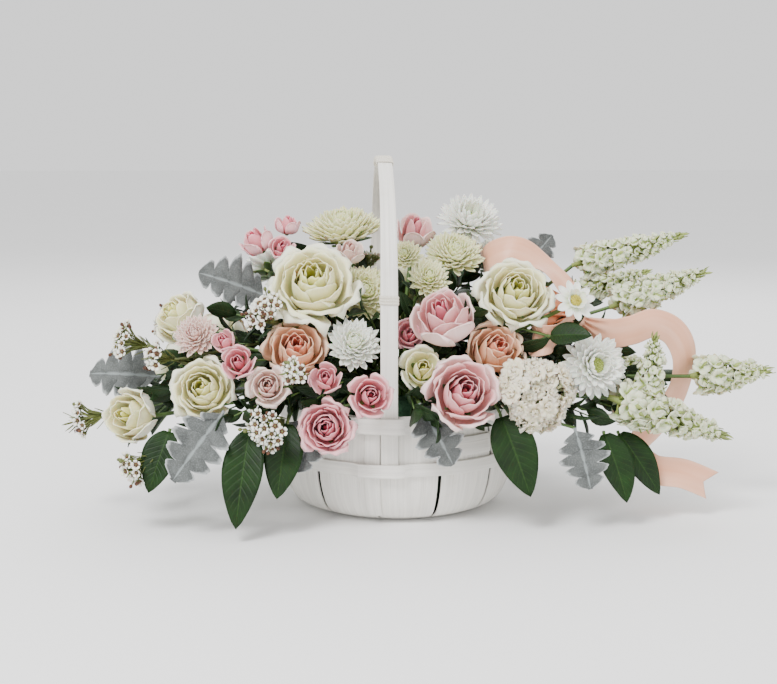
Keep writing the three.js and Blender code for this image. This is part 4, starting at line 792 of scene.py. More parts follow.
# ---------------------------------------------------------------- roses
def rose_petal(radius, height, layer, open_, turn, arc, rng, broad):
    """The placing formula of one petal: a cupped blade whose lip rolls outwards as the rose opens."""
    lip_radius = radius * lerp(0.13, 0.80, layer ** lerp(1.1, 0.85, open_))
    top = height * lerp(0.97, lerp(0.86, 0.62, open_), layer**1.5) * (1 + 0.04 * (rng.random() - 0.5))
    belly = lip_radius * lerp(1.34, 1.06, layer * open_)
    roll = lerp(-0.30, 0.10 + 0.12 * open_, smoothstep(layer, 0.1, 0.75))
    lip_drop = height * 0.13 * smoothstep(layer, 0.35, 1.0) * (0.35 + open_)
    foot = 0.10 * radius
    ruffle = radius * (0.046 if broad else 0.024) * (0.5 + open_) * (0.4 + layer)
    phase = rng.random() * math.tau
    point_out = radius * 0.045 * smoothstep(layer, 0.4, 1.0)

    def place(across, along):
        # the middle line of the petal, a cubic curve in radius and height
        t = along
        a, b, c, d = (1 - t) ** 3, 3 * t * (1 - t) ** 2, 3 * t * t * (1 - t), t**3
        out = a * foot + b * belly * 1.18 + c * lip_radius * 0.98 + d * lip_radius * (1 + roll)
        up = b * 0.06 * height + c * top * 0.86 + d * (top - 0.25 * lip_drop)
        # the petal's edge is round: it is shorter at its sides
        side = abs(across)
        up -= height * 0.16 * side**2.6 * t**2 * (0.7 + 0.6 * layer)
        width = math.sin(math.pi * clamp(0.16 + 0.62 * t**0.8, 0, 1)) ** 0.7
        angle = turn + across * arc * width * (1.0 - 0.12 * t)
        # one side tucks under its neighbour, and both edges of an outer petal roll back
        out *= 1 + 0.07 * across + 0.10 * side**3 * t * smoothstep(layer, 0.3, 1)
        rolled = smoothstep(t, 0.72, 1.0)
        out += point_out * rolled * (1 - side**2)
        up -= lip_drop * rolled**1.5 * (0.75 + 0.25 * side)
        wobble = math.sin(3.1 * across + phase) * 0.6 + math.sin(7.3 * across + 2 * phase) * 0.4
        out += ruffle * wobble * t**3
        up += 0.5 * ruffle * math.sin(5.2 * across + 1.7 * phase) * t**3
        return Vector((out * math.cos(angle), out * math.sin(angle), up))

    return place


def rose_head(piece, pose, radius, open_, seed, small):
    """A rose: a tight bud in the middle and petals that open in a spiral round it."""
    rng = random.Random(seed)
    height = radius * lerp(1.55, 0.95, open_)
    count = round(lerp(17, 30, open_)) if not small else round(lerp(11, 20, open_))
    size = 7 if small else 10
    whorls = count // 5
    for i in range(count):
        whorl = (i - count % 5) // 5
        layer = ((i + 0.35) / count) ** 0.92
        if whorl >= 1:
            layer = clamp((whorl + 0.86) / (whorls - 0.14) * 0.97 + 0.03 * rng.random())
        turn = GOLDEN_TURN * i + 0.16 * rng.random()
        arc = lerp(1.5, 0.66, layer**0.7) * (1 + 0.1 * rng.random())
        shape = rose_petal(radius, height, layer, open_, turn, arc, rng, not small)
        heart = clamp(1.0 - layer) ** 0.85
        piece.blade(size, size, lambda u, v: pose @ shape(u, v), heart)
    core = [(0.05, 0.02), (0.13, 0.3), (0.10, 0.56), (0.02, 0.76)]
    piece.bud(pose, [(r * radius, h * height) for r, h in core], 8, 0, heart=1.0)
    calyx(piece, pose, 0.24 * radius, 0.26 * height)


class Rose:
    """The sizes of a rose's head, from the same rule as its solid."""

    def __init__(self, head):
        at, radius, self.open, face = head
        self.face = facing(at, face)
        self.radius = mm(radius)
        self.height = self.radius * lerp(1.55, 0.95, self.open)
        self.foot = mm(at) - self.face * 0.62 * self.height
        self.pose = pose_at(self.foot, self.face)


def make_roses():
    for index, (name, (slot, heads)) in enumerate(ROSES.items()):
        materials = [finish("petals_" + slot, petal_finish, slot), finish("stems", stem_finish)]
        piece = Piece(name + "_petals", materials, sizes().petal_thickness)
        roses = [Rose(head) for head in heads]
        piece.stems_of(name, [(r.foot, r.face, r.radius, r.height) for r in roses])
        for i, rose in enumerate(roses):
            rose_head(piece, rose.pose, rose.radius, rose.open, 100 + index * 7 + i, rose.radius < mm(24))
        piece.done(slot, name)


# ---------------------------------------------------------------- chrysanthemums, carnation and stock
def strap_petal(length, width, curl, hollow):
    """A narrow petal along +X with its foot at 0: hollowed like a spoon and curling up at its tip."""
    def place(across, along):
        half = 0.5 * width * (0.35 + 0.65 * math.sin(math.pi * (0.08 + 0.8 * along))) * (1 - along**8) ** 0.5
        bend = curl * along
        x = length * (math.sin(bend) / curl if abs(curl) > 0.01 else along)
        z = length * ((1 - math.cos(bend)) / curl if abs(curl) > 0.01 else 0)
        return Vector((x, across * half, z + hollow * width * across * across))
    return place


def mum_head(piece, pose, radius, height, seed, templates):
    """A double bloom: straps that climb a dome in a spiral, short and upright in the middle."""
    rng = random.Random(seed)
    count = round(lerp(90, 190, smoothstep(radius, mm(14), mm(34))))
    for i in range(count):
        s = (i + 0.5) / count                           # 0 in the middle, 1 at the rim
        climb = lerp(math.radians(86), math.radians(-4), s**0.62)
        turn = GOLDEN_TURN * i
        start = Vector((0.30 * radius * s, 0, 0.24 * height + 0.3 * height * (1 - s)))
        reach = lerp(0.50 * height, 0.86 * radius, s**0.7) * (0.93 + 0.14 * rng.random())
        climb += 0.16 * (rng.random() - 0.5)
        local = (Matrix.Rotation(turn, 4, "Z") @ Matrix.Translation(start)
                 @ Matrix.Rotation(-climb, 4, "Y") @ Matrix.Rotation(0.5 * (rng.random() - 0.5), 4, "X")
                 @ Matrix.Diagonal((reach, radius, reach, 1)))
        piece.stamp(templates[0 if s < 0.35 else 1], pose @ local)
    dome = [(0.15, 0.02), (0.42, 0.12), (0.40, 0.42), (0.22, 0.66)]
    piece.bud(pose, [(r * radius, h * height) for r, h in dome], 10, 0, heart=0.9)
    calyx(piece, pose, 0.34 * radius, 0.20 * height, sepals=8)


def make_mums():
    inner = template_blade("strap_inner", 3, 4, strap_petal(1.0, 0.24, 0.8, 0.32), heart=0.72)
    outer = template_blade("strap_outer", 3, 5, strap_petal(1.0, 0.27, 0.6, 0.25), heart=0.22)
    for index, (name, (slot, heads)) in enumerate(MUMS.items()):
        materials = [finish("petals_" + slot, petal_finish, slot), finish("stems", stem_finish)]
        piece = Piece(name + "_petals", materials, 0.9 * sizes().petal_thickness)
        posed = []
        for at, radius, height, face in heads:
            way = facing(at, face)
            posed.append((mm(at) - way * 0.5 * mm(height), way, mm(radius), mm(height)))
        piece.stems_of(name, posed)
        for i, (foot, way, radius, height) in enumerate(posed):
            mum_head(piece, pose_at(foot, way), radius, height, 300 + index * 5 + i, (inner, outer))
        piece.done(slot, name)


def make_rayed():
    for index, (name, (at, radius, face, width, tiers)) in enumerate(RAYED.items()):
        rng = random.Random(400 + index)
        daisy = name.startswith("daisy")
        eye = finish("daisy_eye", eye_finish, (0.50, 0.42, 0.04), (0.78, 0.72, 0.16)) if daisy else (
            finish("green_eye", eye_finish, (0.42, 0.52, 0.10), (0.66, 0.72, 0.26)))
        materials = [finish("petals_white", petal_finish, "white"), finish("stems", stem_finish), eye]
        piece = Piece(name + "_petals", materials, sizes().petal_thickness)
        way, size = facing(at, face), mm(radius)
        foot = mm(at) - way * 0.294 * size
        pose = pose_at(foot, way)
        piece.stems_of(name, [(foot, way, size, 1.1 * size)])
        if not daisy:
            (count, climb, reach), *others = tiers
            tiers = [(count + 8, climb - 10, reach), (count + 8, climb + 4, 0.97 * reach)]
            tiers += [(n + 7, c + lift, r) for n, c, r in others for lift in (-8, 8)]
        for tier, (count, climb, reach) in enumerate(tiers):
            extra = count + 3
            for i in range(extra):
                turn = math.tau * (i + 0.5 * (tier % 2) + 0.25 * rng.random()) / extra
                rise = math.radians(climb) - 0.22 + 0.14 * (rng.random() - 0.5)
                length = size * (reach * (0.95 + 0.08 * rng.random()) - 0.17)
                shape = strap_petal(length, mm(width) * (1.1 if daisy else 0.8), 0.5 if tier else 0.25, 0.18)
                local = (pose @ Matrix.Rotation(turn, 4, "Z") @ Matrix.Translation((0.16 * size, 0, 0.17 * size))
                         @ Matrix.Rotation(-rise, 4, "Y") @ Matrix.Rotation(0.4 * (rng.random() - 0.5), 4, "X"))
                piece.blade(5, 9, lambda u, v: local @ shape(u, v), 0.12 + 0.5 * (tier == len(tiers) - 1))
        dome = [(0.14, 0.02), (0.27, 0.16), (0.27, 0.27), (0.19, 0.36), (0.06, 0.40)]
        piece.bud(pose, [(r * size, h * size) for r, h in dome], 14, 2)
        grain = template_blade("grain", 1, 2, strap_petal(1.0, 0.8, 0.3, 0.1), material=2)
        for i in range(70):
            s = math.sqrt((i + 0.5) / 70)
            local = (pose @ Matrix.Rotation(GOLDEN_TURN * i, 4, "Z")
                     @ Matrix.Translation((0.25 * s * size, 0, (0.40 - 0.13 * s * s) * size))
                     @ Matrix.Rotation(-1.5 + 0.8 * s, 4, "Y") @ Matrix.Scale(0.07 * size, 4))
            piece.stamp(grain, local)
        calyx(piece, pose, 0.22 * size, 0.14 * size, sepals=9)
        piece.done("white", name)


def ruffled_petal(length, width, frill, phase):
    """A broad short petal with a frilled lip."""
    def place(across, along):
        half = 0.5 * width * math.sin(math.pi * (0.10 + 0.55 * along)) ** 0.8
        wave = frill * along**2 * math.sin(6.0 * across + phase)
        return Vector((length * along * (1 - 0.12 * across**2), across * half,
                       length * (0.55 * along - 0.35 * along**2) + wave))
    return place


def make_stock():
    for name, (at, radius, height, face) in STOCK.items():
        rng = random.Random(500)
        materials = [finish("petals_stock", petal_finish, "stock"), finish("stems", stem_finish),
                     finish("petals_green_cream", petal_finish, "green_cream")]
        piece = Piece(name + "_petals", materials, sizes().petal_thickness)
        way, size, tall = facing(at, face), mm(radius), mm(height)
        foot = mm(at) - way * 0.5 * tall
        pose = pose_at(foot, way)
        piece.stems_of(name, [(foot, way, size, tall)])
        petals = [template_blade(f"frill_{k}", 5, 4, ruffled_petal(1.0, 0.94, 0.19, 1.7 * k), 0.2 + 0.12 * k)
                  for k in range(4)]
        count = 46
        for i in range(count):
            s = math.sqrt((i + 0.5) / count)
            climb = lerp(math.pi / 2, -0.05, s)
            around = GOLDEN_TURN * i
            at_dome = Vector((0.80 * size * math.cos(climb) * math.cos(around),
                              0.80 * size * math.cos(climb) * math.sin(around),
                              tall * (0.26 + 0.66 * math.sin(max(0, climb)))))
            out = Vector((at_dome.x, at_dome.y, at_dome.z * 1.3 - 0.1 * tall)).normalized()
            at_dome *= rng.uniform(0.72, 1.10)
            out = (out + Vector([rng.uniform(-0.4, 0.4) for _ in range(3)])).normalized()
            local = pose @ pose_at(at_dome, out, rng.random() * math.tau)
            scale = size * lerp(0.25, 0.31, s) * (0.80 + 0.4 * rng.random())
            for ring, petal_count in ((0, 5), (1, 4)):
                for k in range(petal_count):
                    turn = math.tau * (k + 0.5 * ring) / petal_count
                    tilt = 0.15 + 0.2 * rng.random() + 0.75 * ring
                    stamp = (local @ Matrix.Rotation(turn, 4, "Z") @ Matrix.Rotation(-tilt, 4, "Y")
                             @ Matrix.Scale(scale * (1 - 0.3 * ring), 4))
                    piece.stamp(petals[(i + k) % 4], stamp)
            piece.bud(local, [(0.10 * scale, -0.7 * scale), (0.16 * scale, 0), (0.05 * scale, 0.25 * scale)], 6, 2)
        dome = [(0.2, 0.0), (0.56, 0.14), (0.52, 0.5), (0.2, 0.68)]
        piece.bud(pose, [(r * size, h * tall) for r, h in dome], 12, 1)
        piece.done("white", name)


# ---------------------------------------------------------------- spikes and wax flower
def make_spikes():
    petal = template_blade("spike_petal", 3, 3, ruffled_petal(1.0, 0.8, 0.05, 0.6), heart=0.25)
    bract = template_blade("spike_bract", 2, 3, strap_petal(1.0, 0.24, 0.6, 0.2), material=1)
    for index, (name, spikes) in enumerate(SPIKES.items()):
        rng = random.Random(600 + index)
        materials = [finish("petals_spike", petal_finish, "spike"), finish("bracts", stem_finish, (0.38, 0.47, 0.12)),
                     finish("stems", stem_finish)]
        piece = Piece(name + "_petals", materials, 0.8 * sizes().petal_thickness)
        posed = []
        for start, end, radius in spikes:
            way = mm(end) - mm(start)
            posed.append((mm(start), way.normalized(), mm(radius), way.length))
        piece.stems_of(name, posed, material=2)
        for foot, way, radius, length in posed:
            pose = pose_at(foot, way)
            core = [(0.10, -0.06), (0.16, 0.08), (0.2, 0.4), (0.14, 0.75), (0.04, 0.98)]
            piece.bud(pose, [(r * radius, h * length) for r, h in core], 8, 1)
            count = round(96 * length / mm(95)) + 14
            for i in range(count):
                s = i / (count - 1)
                reach = radius * (1 - 0.6 * s**1.7) * (0.74 + 0.34 * rng.random())
                climb = lerp(0.1, 1.1, s**1.5) + 0.2 * rng.random()
                local = (pose @ Matrix.Translation((0, 0, length * (0.02 + 0.93 * s)))
                         @ Matrix.Rotation(GOLDEN_TURN * i, 4, "Z") @ Matrix.Rotation(-climb, 4, "Y"))
                piece.stamp(bract, local @ Matrix.Translation((0.1 * radius, 0, -0.05 * radius))
                            @ Matrix.Rotation(0.7 * (rng.random() - 0.5), 4, "Z") @ Matrix.Scale(0.92 * reach, 4))
                if s > 0.86:
                    continue
                mouth = local @ Matrix.Translation((0.52 * reach, 0, 0)) @ Matrix.Rotation(math.pi / 2, 4, "Y")
                for k in range(5):
                    spread = (mouth @ Matrix.Rotation(math.tau * (k + 0.5 * rng.random()) / 5, 4, "Z")
                              @ Matrix.Rotation(-lerp(0.15, 0.9, s) - 0.3 * rng.random(), 4, "Y")
                              @ Matrix.Scale(0.44 * reach, 4))
                    piece.stamp(petal, spread)
                grow = [(0.05, -0.1), (0.10, 0.02), (0.03, 0.1)]
                piece.bud(mouth, [(r * reach, z * reach) for r, z in grow], 5, 1)
        piece.done("spike", name)


def wax_twigs(twigs, index):
    """Where each small flower and needle of a spray stands, from the same rule as its solid."""
    for i, (tip, flowers, spread, needles) in enumerate(twigs):
        tip = mm(tip)
        away = (tip - Vector((tip.x * 0.4, tip.y * 0.4, mm(120)))).normalized()
        yield i, tip - away * mm(spread), away, flowers, mm(spread), needles


def make_wax():
    cup = template_blade("wax_cup", 4, 3, ruffled_petal(1.0, 1.05, 0.02, 0.0), heart=0.15)
    needle = template_blade("wax_needle", 2, 4, strap_petal(1.0, 0.10, 0.25, 0.2), material=1)
    for index, (name, twigs) in enumerate(WAX.items()):
        rng = random.Random(700 + index)
        materials = [finish("petals_wax", petal_finish, "wax"), finish("needles", stem_finish, (0.17, 0.20, 0.05)),
                     finish("wax_eye", eye_finish, (0.030, 0.010, 0.006), (0.17, 0.07, 0.03))]
        piece = Piece(name + "_petals", materials, 0.8 * sizes().petal_thickness)
        balls = []
        for _, base, away, flowers, spread, needles in wax_twigs(twigs, index):
            balls.append((base - away * mm(8), away, spread * 1.0, spread * 1.5))
        piece.stems_of(name, balls)
        for i, base, away, flowers, spread, needles in wax_twigs(twigs, index):
            side = away.cross(UP).normalized()
            over = side.cross(away)
            root = base - away * mm(8)
            heads = 4 * flowers + 2
            for k in range(heads):
                s = math.sqrt((k + 0.4) / heads)
                turn = GOLDEN_TURN * k + i
                lean = 0.68 * spread * s
                at = (base + away * spread * (0.86 - 0.36 * s + 0.1 * rng.random())
                      + side * lean * math.cos(turn) + over * lean * math.sin(turn))
                front = Vector((0, -0.6 if at.y < 0 else 0.6, 0.2))
                way = ((at - base).normalized() + front).normalized()
                pose = pose_at(at, way, k)
                size = mm(5.7) * (0.8 + 0.3 * rng.random())
                bend = base.lerp(at, 0.4) + away * mm(1.5)
                piece.tube([root, bend, at - way * size * 0.7], [mm(0.9), mm(0.7), mm(0.8)], 5)
                green, eye = [(0.12, -0.75), (0.42, -0.35), (0.46, 0.0)], [(0.40, -0.10), (0.42, 0.05), (0.30, 0.10)]
                piece.bud(pose, [(r * size, z * size) for r, z in green], 8, 1)
                piece.bud(pose, [(r * size, z * size) for r, z in eye], 8, 2)
                piece.bud(pose, [(r * size, z * size) for r, z in ((0.13, 0.05), (0.14, 0.16), (0.05, 0.22))], 6, 1)
                for j in range(5):
                    stamp = (pose @ Matrix.Rotation(math.tau * j / 5, 4, "Z")
                             @ Matrix.Translation((0.36 * size, 0, 0)) @ Matrix.Rotation(-0.55, 4, "Y")
                             @ Matrix.Scale(0.62 * size, 4))
                    piece.stamp(cup, stamp)
            for k in range(8 + flowers):
                turn = 2.1 * k + 0.7 * i
                at = (base + away * spread * (0.45 + 0.48 * rng.random())
                      + side * 0.72 * spread * math.cos(turn) * rng.random() + over * 0.62 * spread * math.sin(turn))
                piece.tube([root, base.lerp(at, 0.5), at], [mm(0.8), mm(0.6), mm(0.6)], 5)
                bud = pose_at(at, at - base)
                grow = [(0.3, -0.4), (1.3, 0.4), (1.7, 1.8), (1.2, 3.0), (0.3, 3.6)]
                piece.bud(bud, [(mm(r), mm(z)) for r, z in grow], 7, 2 if k % 3 else 1)
            count = 14 + 2 * needles
            for k in range(count):
                reach = lerp(mm(-14), (0.8 if needles else 0.45) * spread, k / (count - 1))
                local = pose_at(base + away * reach, away, 2.4 * k)
                piece.stamp(needle, local @ Matrix.Rotation(-0.75, 4, "Y") @ Matrix.Scale(mm(17), 4))
        piece.done("wax", name)


# ---------------------------------------------------------------- leaves
def leaf_frame(leaf):
    foot, tip, width, up = leaf
    foot, tip = mm(foot), mm(tip)
    along = (tip - foot).normalized()
    side = along.cross(Vector(up)).normalized()
    return foot, (tip - foot).length, along, side, side.cross(along), mm(width)


def leaf_root(leaf):
    foot, length, along, side, normal, width = leaf_frame(leaf)
    return foot + normal * 0.048 * length - along * mm(3)


def broad_leaf(leaf, rng):
    """The placing formula of a broad pointed leaf, folded up along its edges and drooping to its tip."""
    foot, length, along, side, normal, width = leaf_frame(leaf)
    phase = rng.random() * math.tau

    def place(u, v):
        half = width / 2 * math.sin(math.pi * clamp(0.03 + 0.97 * v) ** 0.8) ** 0.75
        wave = mm(1.3) * math.sin(7 * v + phase) * abs(u) ** 2 * v
        lift = 0.16 * length * (0.3 - v * v) + 0.22 * half * abs(u) + wave
        vein = -0.03 * half * math.exp(-(u / 0.12) ** 2)
        return foot + along * length * v + side * half * u + normal * (lift + vein)

    return place


def dusty_leaf(leaf, rng):
    """A felted leaf with round lobes parted by narrow cuts, each lobe scalloped once more."""
    foot, length, along, side, normal, width = leaf_frame(leaf)
    phase = rng.random()

    def place(u, v):
        full = math.sin(math.pi * clamp(0.05 + 0.93 * v) ** 0.75) ** 0.6
        lobe = abs(math.cos(math.pi * (4.5 * v + 0.12 * phase))) ** 0.42
        small = abs(math.cos(math.pi * (13.5 * v + phase))) ** 0.6
        cut = 0.26 + 0.70 * lobe + 0.09 * small * lobe
        half = 0.56 * width * full * (cut if abs(u) > 0.02 else 1)
        forward = 0.13 * (1 - v) * abs(u) ** 1.2
        lift = 0.16 * length * (0.3 - v * v) + 0.10 * half * abs(u)
        curl = mm(1.8) * math.sin(14 * v + 6 * phase + 1.5 * u) * u * u
        groove = half * (0.05 * math.cos(math.tau * 4.5 * v) * abs(u) - 0.06 * math.exp(-(u / 0.15) ** 2))
        return foot + along * length * (v + forward) * 0.97 + side * half * u + normal * (lift + curl + groove)

    return place


def make_leaves(table, slot, shape, columns, rows, make, material_name, thickness):
    for index, (name, leaves) in enumerate(table.items()):
        rng = random.Random(800 + index)
        piece = Piece(name + "_blades", [finish(material_name, make), finish("stems", stem_finish)], thickness)
        piece.stems_of(name, [
            (leaf_root(leaf), leaf_frame(leaf)[2], leaf_frame(leaf)[5] * 0.5, leaf_frame(leaf)[1] * 0.95)
            for leaf in leaves])
        for leaf in leaves:
            piece.blade(columns, rows, shape(leaf, rng))
            foot, length, along, side, normal, width = leaf_frame(leaf)
            rib = []
            for k in range(7):
                v = 0.9 * k / 6
                rib.append(foot + along * length * v + normal * (0.16 * length * (0.3 - v * v) - mm(1.7)))
            root = leaf_root(leaf)
            thick = [mm(1.6)] + [mm(lerp(1.4, 0.3, k / 6)) for k in range(7)]
            piece.tube([root, *rib], thick, 6, 0 if slot == "silver" else 1)
        piece.done(slot, name)


def make_broad_leaves():
    make_leaves(BROAD, "leaf", broad_leaf, 10, 16, broad_leaf_finish, "broad_leaf", sizes().leaf_thickness)


def make_dusty_miller():
    make_leaves(DUSTY, "silver", dusty_leaf, 12, 84, silver_leaf_finish, "silver_leaf",
                1.5 * sizes().leaf_thickness)


def bloom_balls():
    """Every bloom's middle and radius, in metres, which sprigs stay out of."""
    for table in (ROSES, MUMS):
        for _, heads in table.values():
            for at, radius, *_ in heads:
                yield mm(at), mm(radius)
    for at, radius, *_ in [*RAYED.values(), *STOCK.values()]:
        yield mm(at), mm(radius)


LOW_SPRIGS = 30
GAP_SPRIGS = [(-150, -124, 106), (-124, -130, 112), (-176, -96, 98), (-206, -84, 124), (-196, -70, 150), (-148, -96, 150),
              (166, -108, 100), (146, -112, 104), (192, -86, 104), (-232, -50, 118), (60, -118, 104), (-60, -118, 112),
              (210, -40, 130), (-150, -60, 188), (-104, -70, 190), (140, -60, 150)]


def filler_target(i, count):
    """Where a sprig ends: spread evenly over the mound, a little behind its blooms, and in a ring above the rim."""
    if i >= count + LOW_SPRIGS:
        return Vector(GAP_SPRIGS[i - count - LOW_SPRIGS])
    if i >= count:
        turn = math.tau * (i - count) / LOW_SPRIGS
        return Vector((250 * math.cos(turn), 126 * math.sin(turn), 102 + 9 * ((i * 2) % 3)))
    up = 0.02 + 0.93 * ((i + 0.5) / count)
    turn = GOLDEN_TURN * i
    flat = math.sqrt(1 - up * up)
    deep = 0.70 + 0.10 * ((i * 7) % 5) / 4
    return Vector((300 * deep * flat * math.cos(turn), 150 * deep * flat * math.sin(turn), 100 + 165 * deep * up))


def near_handle(point):
    """Whether a point is so close to the handle that a leaf there would run through it."""
    x, y, z = point / MM
    rise = max(0.0, z - HANDLE_SPRING) / (HANDLE_TOP - HANDLE_SPRING)
    return abs(x - HANDLE_X) < 17 and abs(math.hypot(y / HANDLE_REACH, rise) - 1) < 0.16


def sprig_leaf(foot, way, flat, length, width):
    side = way.cross(flat).normalized()
    normal = side.cross(way)

    def place(u, v):
        half = width / 2 * math.sin(math.pi * clamp(0.02 + 0.98 * v) ** 0.85) ** 0.8
        lift = length * (0.10 * v - 0.22 * v * v) + 0.3 * half * abs(u)
        return foot + way * length * v + side * half * u + normal * lift

    return place


def make_filler():
    """Dark leafy sprigs that stand in the foam and close the gaps behind the blooms; their green is darkened in part as
    painted shade of those gaps.
    """
    rng = random.Random(900)
    # painted shade: the sprig leaves get a dark green of their own, darkened in part for the deep gaps between the
    # blooms
    materials = [finish("sprig_leaf", broad_leaf_finish, (0.018, 0.046, 0.012)), finish("stems", stem_finish)]
    piece = Piece("filler_sprigs", materials, 0.8 * sizes().leaf_thickness)
    count = 64
    balls = list(bloom_balls())
    for i in range(count + LOW_SPRIGS + len(GAP_SPRIGS)):
        tip = mm(filler_target(i, count))
        if abs(tip.x - mm(HANDLE_X)) < mm(16) and abs(tip.y) > mm(85):
            tip.x += mm(34)
        entry = Vector((tip.x * 0.16, tip.y * 0.30, mm(104)))
        fork = Vector((tip.x * 0.24, tip.y * 0.42, mm(124)))
        middle = fork.lerp(tip, 0.5) + UP * mm(9)
        path = [entry, fork, middle, tip]
        points = [spline(path, k / 12) for k in range(13)]
        piece.tube(points, [mm(lerp(1.5, 0.7, k / 12)) for k in range(13)], 5)
        piece.keep()
        leaves = 9
        for k in range(leaves):
            t = lerp(0.50, 1.0, k / (leaves - 1))
            foot = spline(path, t)
            tangent = (spline(path, min(1, t + 0.02)) - spline(path, max(0, t - 0.03))).normalized()
            turn = 2.4 * k + i
            out = tangent.orthogonal().normalized()
            out = Matrix.Rotation(turn, 3, tangent) @ out
            spread = 0.95 if k < leaves - 1 else 0.15
            way = (tangent + out * spread).normalized()
            length = mm(rng.uniform(21, 31)) * (1 if k < leaves - 1 else 1.1)
            inside = any((foot + way * 0.6 * length - at).length < 0.98 * radius for at, radius in balls)
            if inside or foot.z + way.z * length < mm(72) or any(near_handle(foot + way * length * part) for part in (0, 0.5, 1)):
                continue
            piece.blade(4, 6, sprig_leaf(foot, way, tangent, length, 0.52 * length))
    piece.done("leaf")


# ---------------------------------------------------------------- ribbon
def spline(points, t):
    """A point on a smooth line through the points, t from 0 to 1."""
    place = t * (len(points) - 1)
    i = min(int(place), len(points) - 2)
    f = place - i
    p0, p1, p2, p3 = (points[max(0, min(len(points) - 1, i + k))] for k in (-1, 0, 1, 2))
    return 0.5 * (2 * p1 + (p2 - p0) * f + (2 * p0 - 5 * p1 + 4 * p2 - p3) * f * f
                  + (3 * p1 - p0 - 3 * p2 + p3) * f**3)


def make_ribbon():
    # the second satin is the same peach darkened and deepened as painted shade, for the ribbon's inner side
    satin = [finish("satin", satin_finish), finish("satin_inside", satin_finish, 0.72)]
    width_full = sizes().ribbon_width
    for name, run in RIBBON_RUNS.items():
        points = [mm(p) for p, _ in run]
        ways = [Vector(w).normalized() for _, w in run]
        samples = [spline(points, k / 200) for k in range(201)]
        length = sum((b - a).length for a, b in zip(samples, samples[1:]))
        piece = Piece(name, satin, mm(0.35), two_sided="right" not in name)
        knot = mm(KNOT)

        def place(across, along):
            centre = spline(points, along)
            tangent = (spline(points, min(1, along + 0.01)) - spline(points, max(0, along - 0.01))).normalized()
            way = spline(ways, along)
            way = (way - tangent * way.dot(tangent)).normalized()
            normal = tangent.cross(way)
            near = 1 - smoothstep((centre - knot).length, mm(4), mm(34))
            width = lerp(1.0, 0.36, near)
            fold = mm(2.6) * near**0.7 * math.sin(across * 9.5) + mm(0.8) * math.sin(5 * along * math.tau + 2 * across)
            crown = mm(1.5) * (1 - across * across) * (1 - near)
            notch = mm(9) * (1 - abs(across)) * smoothstep(along, 0.955, 1.0) if name.endswith("right_loop") else 0
            return centre - tangent * notch + way * across * width * width_full / 2 + normal * (fold + crown)

        piece.blade(24, 90, place)
        obj = piece.done("ribbon", "ribbon_bow")
    knot = Piece("ribbon_knot", [satin[0], finish("stems", stem_finish)])
    pose = pose_at(mm(KNOT), Vector((0.3, 0.1, 1)))

    def band(across, along):
        turn = math.tau * along
        out = mm(7.6 + 1.0 * math.cos(3 * turn) + 1.6 * (1 - across * across))
        crease = mm(0.7) * math.sin(across * 8 + math.sin(turn))
        return pose @ Vector(((out + crease) * math.cos(turn), (out * 0.8 + crease) * math.sin(turn), mm(8.5) * across))

    knot.blade(14, 28, band)
    knot.bud(pose, [(mm(r), mm(z)) for r, z in ((0.5, -8.5), (5.5, -7), (6.3, 0), (5.5, 7), (0.5, 8.5))], 12, 0)
    knot.tube([mm(p) for p in ((140, -40, 112), (150, -44, 140), (156, -46, 170), (162, -50, 181))], [mm(1.3)] * 4, 8)
    knot.done("ribbon")


# ---------------------------------------------------------------- basket
def wall_radius(z):
    """The outside radius of the splints at a height, in mm, on a smooth curve."""
    profile = [Vector((r, h, 0)) for r, h in WALL_PROFILE]
    low, high = 0.0, 1.0
    for _ in range(24):
        middle = (low + high) / 2
        if spline(profile, middle).y < z:
            low = middle
        else:
            high = middle
    return spline(profile, low).x


def on_wall(radius, degrees, z):
    a = math.radians(degrees)
    return Vector((radius * math.sin(a), -radius * math.cos(a), z)) * MM


def leg_bulge(degrees):
    middle = (HANDLE_ANGLE + SLAT_ANGLE) / 2
    off = min(abs((degrees - middle + 180) % 360 - 180), abs((degrees - 180 + middle + 180) % 360 - 180))
    return 5.4 * (1 - smoothstep(off, 8.5, 13.5))


def wall_slat(piece, start, end, low, outset, columns):
    """A curved splint on the wall between two angles, from the base edge or above it up to the mouth."""
    profile = [Vector((r, h, 0)) for r, h in WALL_PROFILE]

    def place(across, along):
        point = spline(profile, lerp(low, 1.0, along))
        corner = mm(0.6) * abs(across) ** 8
        angle = lerp(start, end, (across + 1) / 2)
        lift = (1 - smoothstep(point.y, 0, 12)) * max(0, -outset)
        made = on_wall(point.x + outset, angle, point.y + lift)
        return made * (1 - corner)

    piece.blade(columns, 24, place, grain=(abs(end - start) / 28, 1))


def make_splints():
    paint = finish("whitewash", painted_splint_finish)
    piece = Piece("basket_splints_wood", [paint], sizes().splint_thickness)
    for k in range(SPLINT_COUNT):
        middle = FIRST_SPLINT_ANGLE + 30 * k
        wall_slat(piece, middle - SPLINT_HALF_SPAN, middle + SPLINT_HALF_SPAN, 0.0, -SPLINT_THICKNESS / 2, 10)
    profile = [(0.5, 0), (60, 0), (79, 0), (82, 0.4), (83.5, 3), (60, 3), (0.5, 3)]
    piece.bud(Matrix.Identity(4), [(mm(r), mm(z)) for r, z in profile], 48, 0, grain=12.0)
    piece.done("whitewash", "basket_splints", soft_edge_mm=0.35)
    slat = Piece("basket_slat_wood", [paint], mm(1.6))
    wall_slat(slat, SLAT_ANGLE - 3.6, SLAT_ANGLE + 3.6, 0.25, 1.2, 4)
    slat.done("whitewash", "basket_slat_front", soft_edge_mm=0.3)


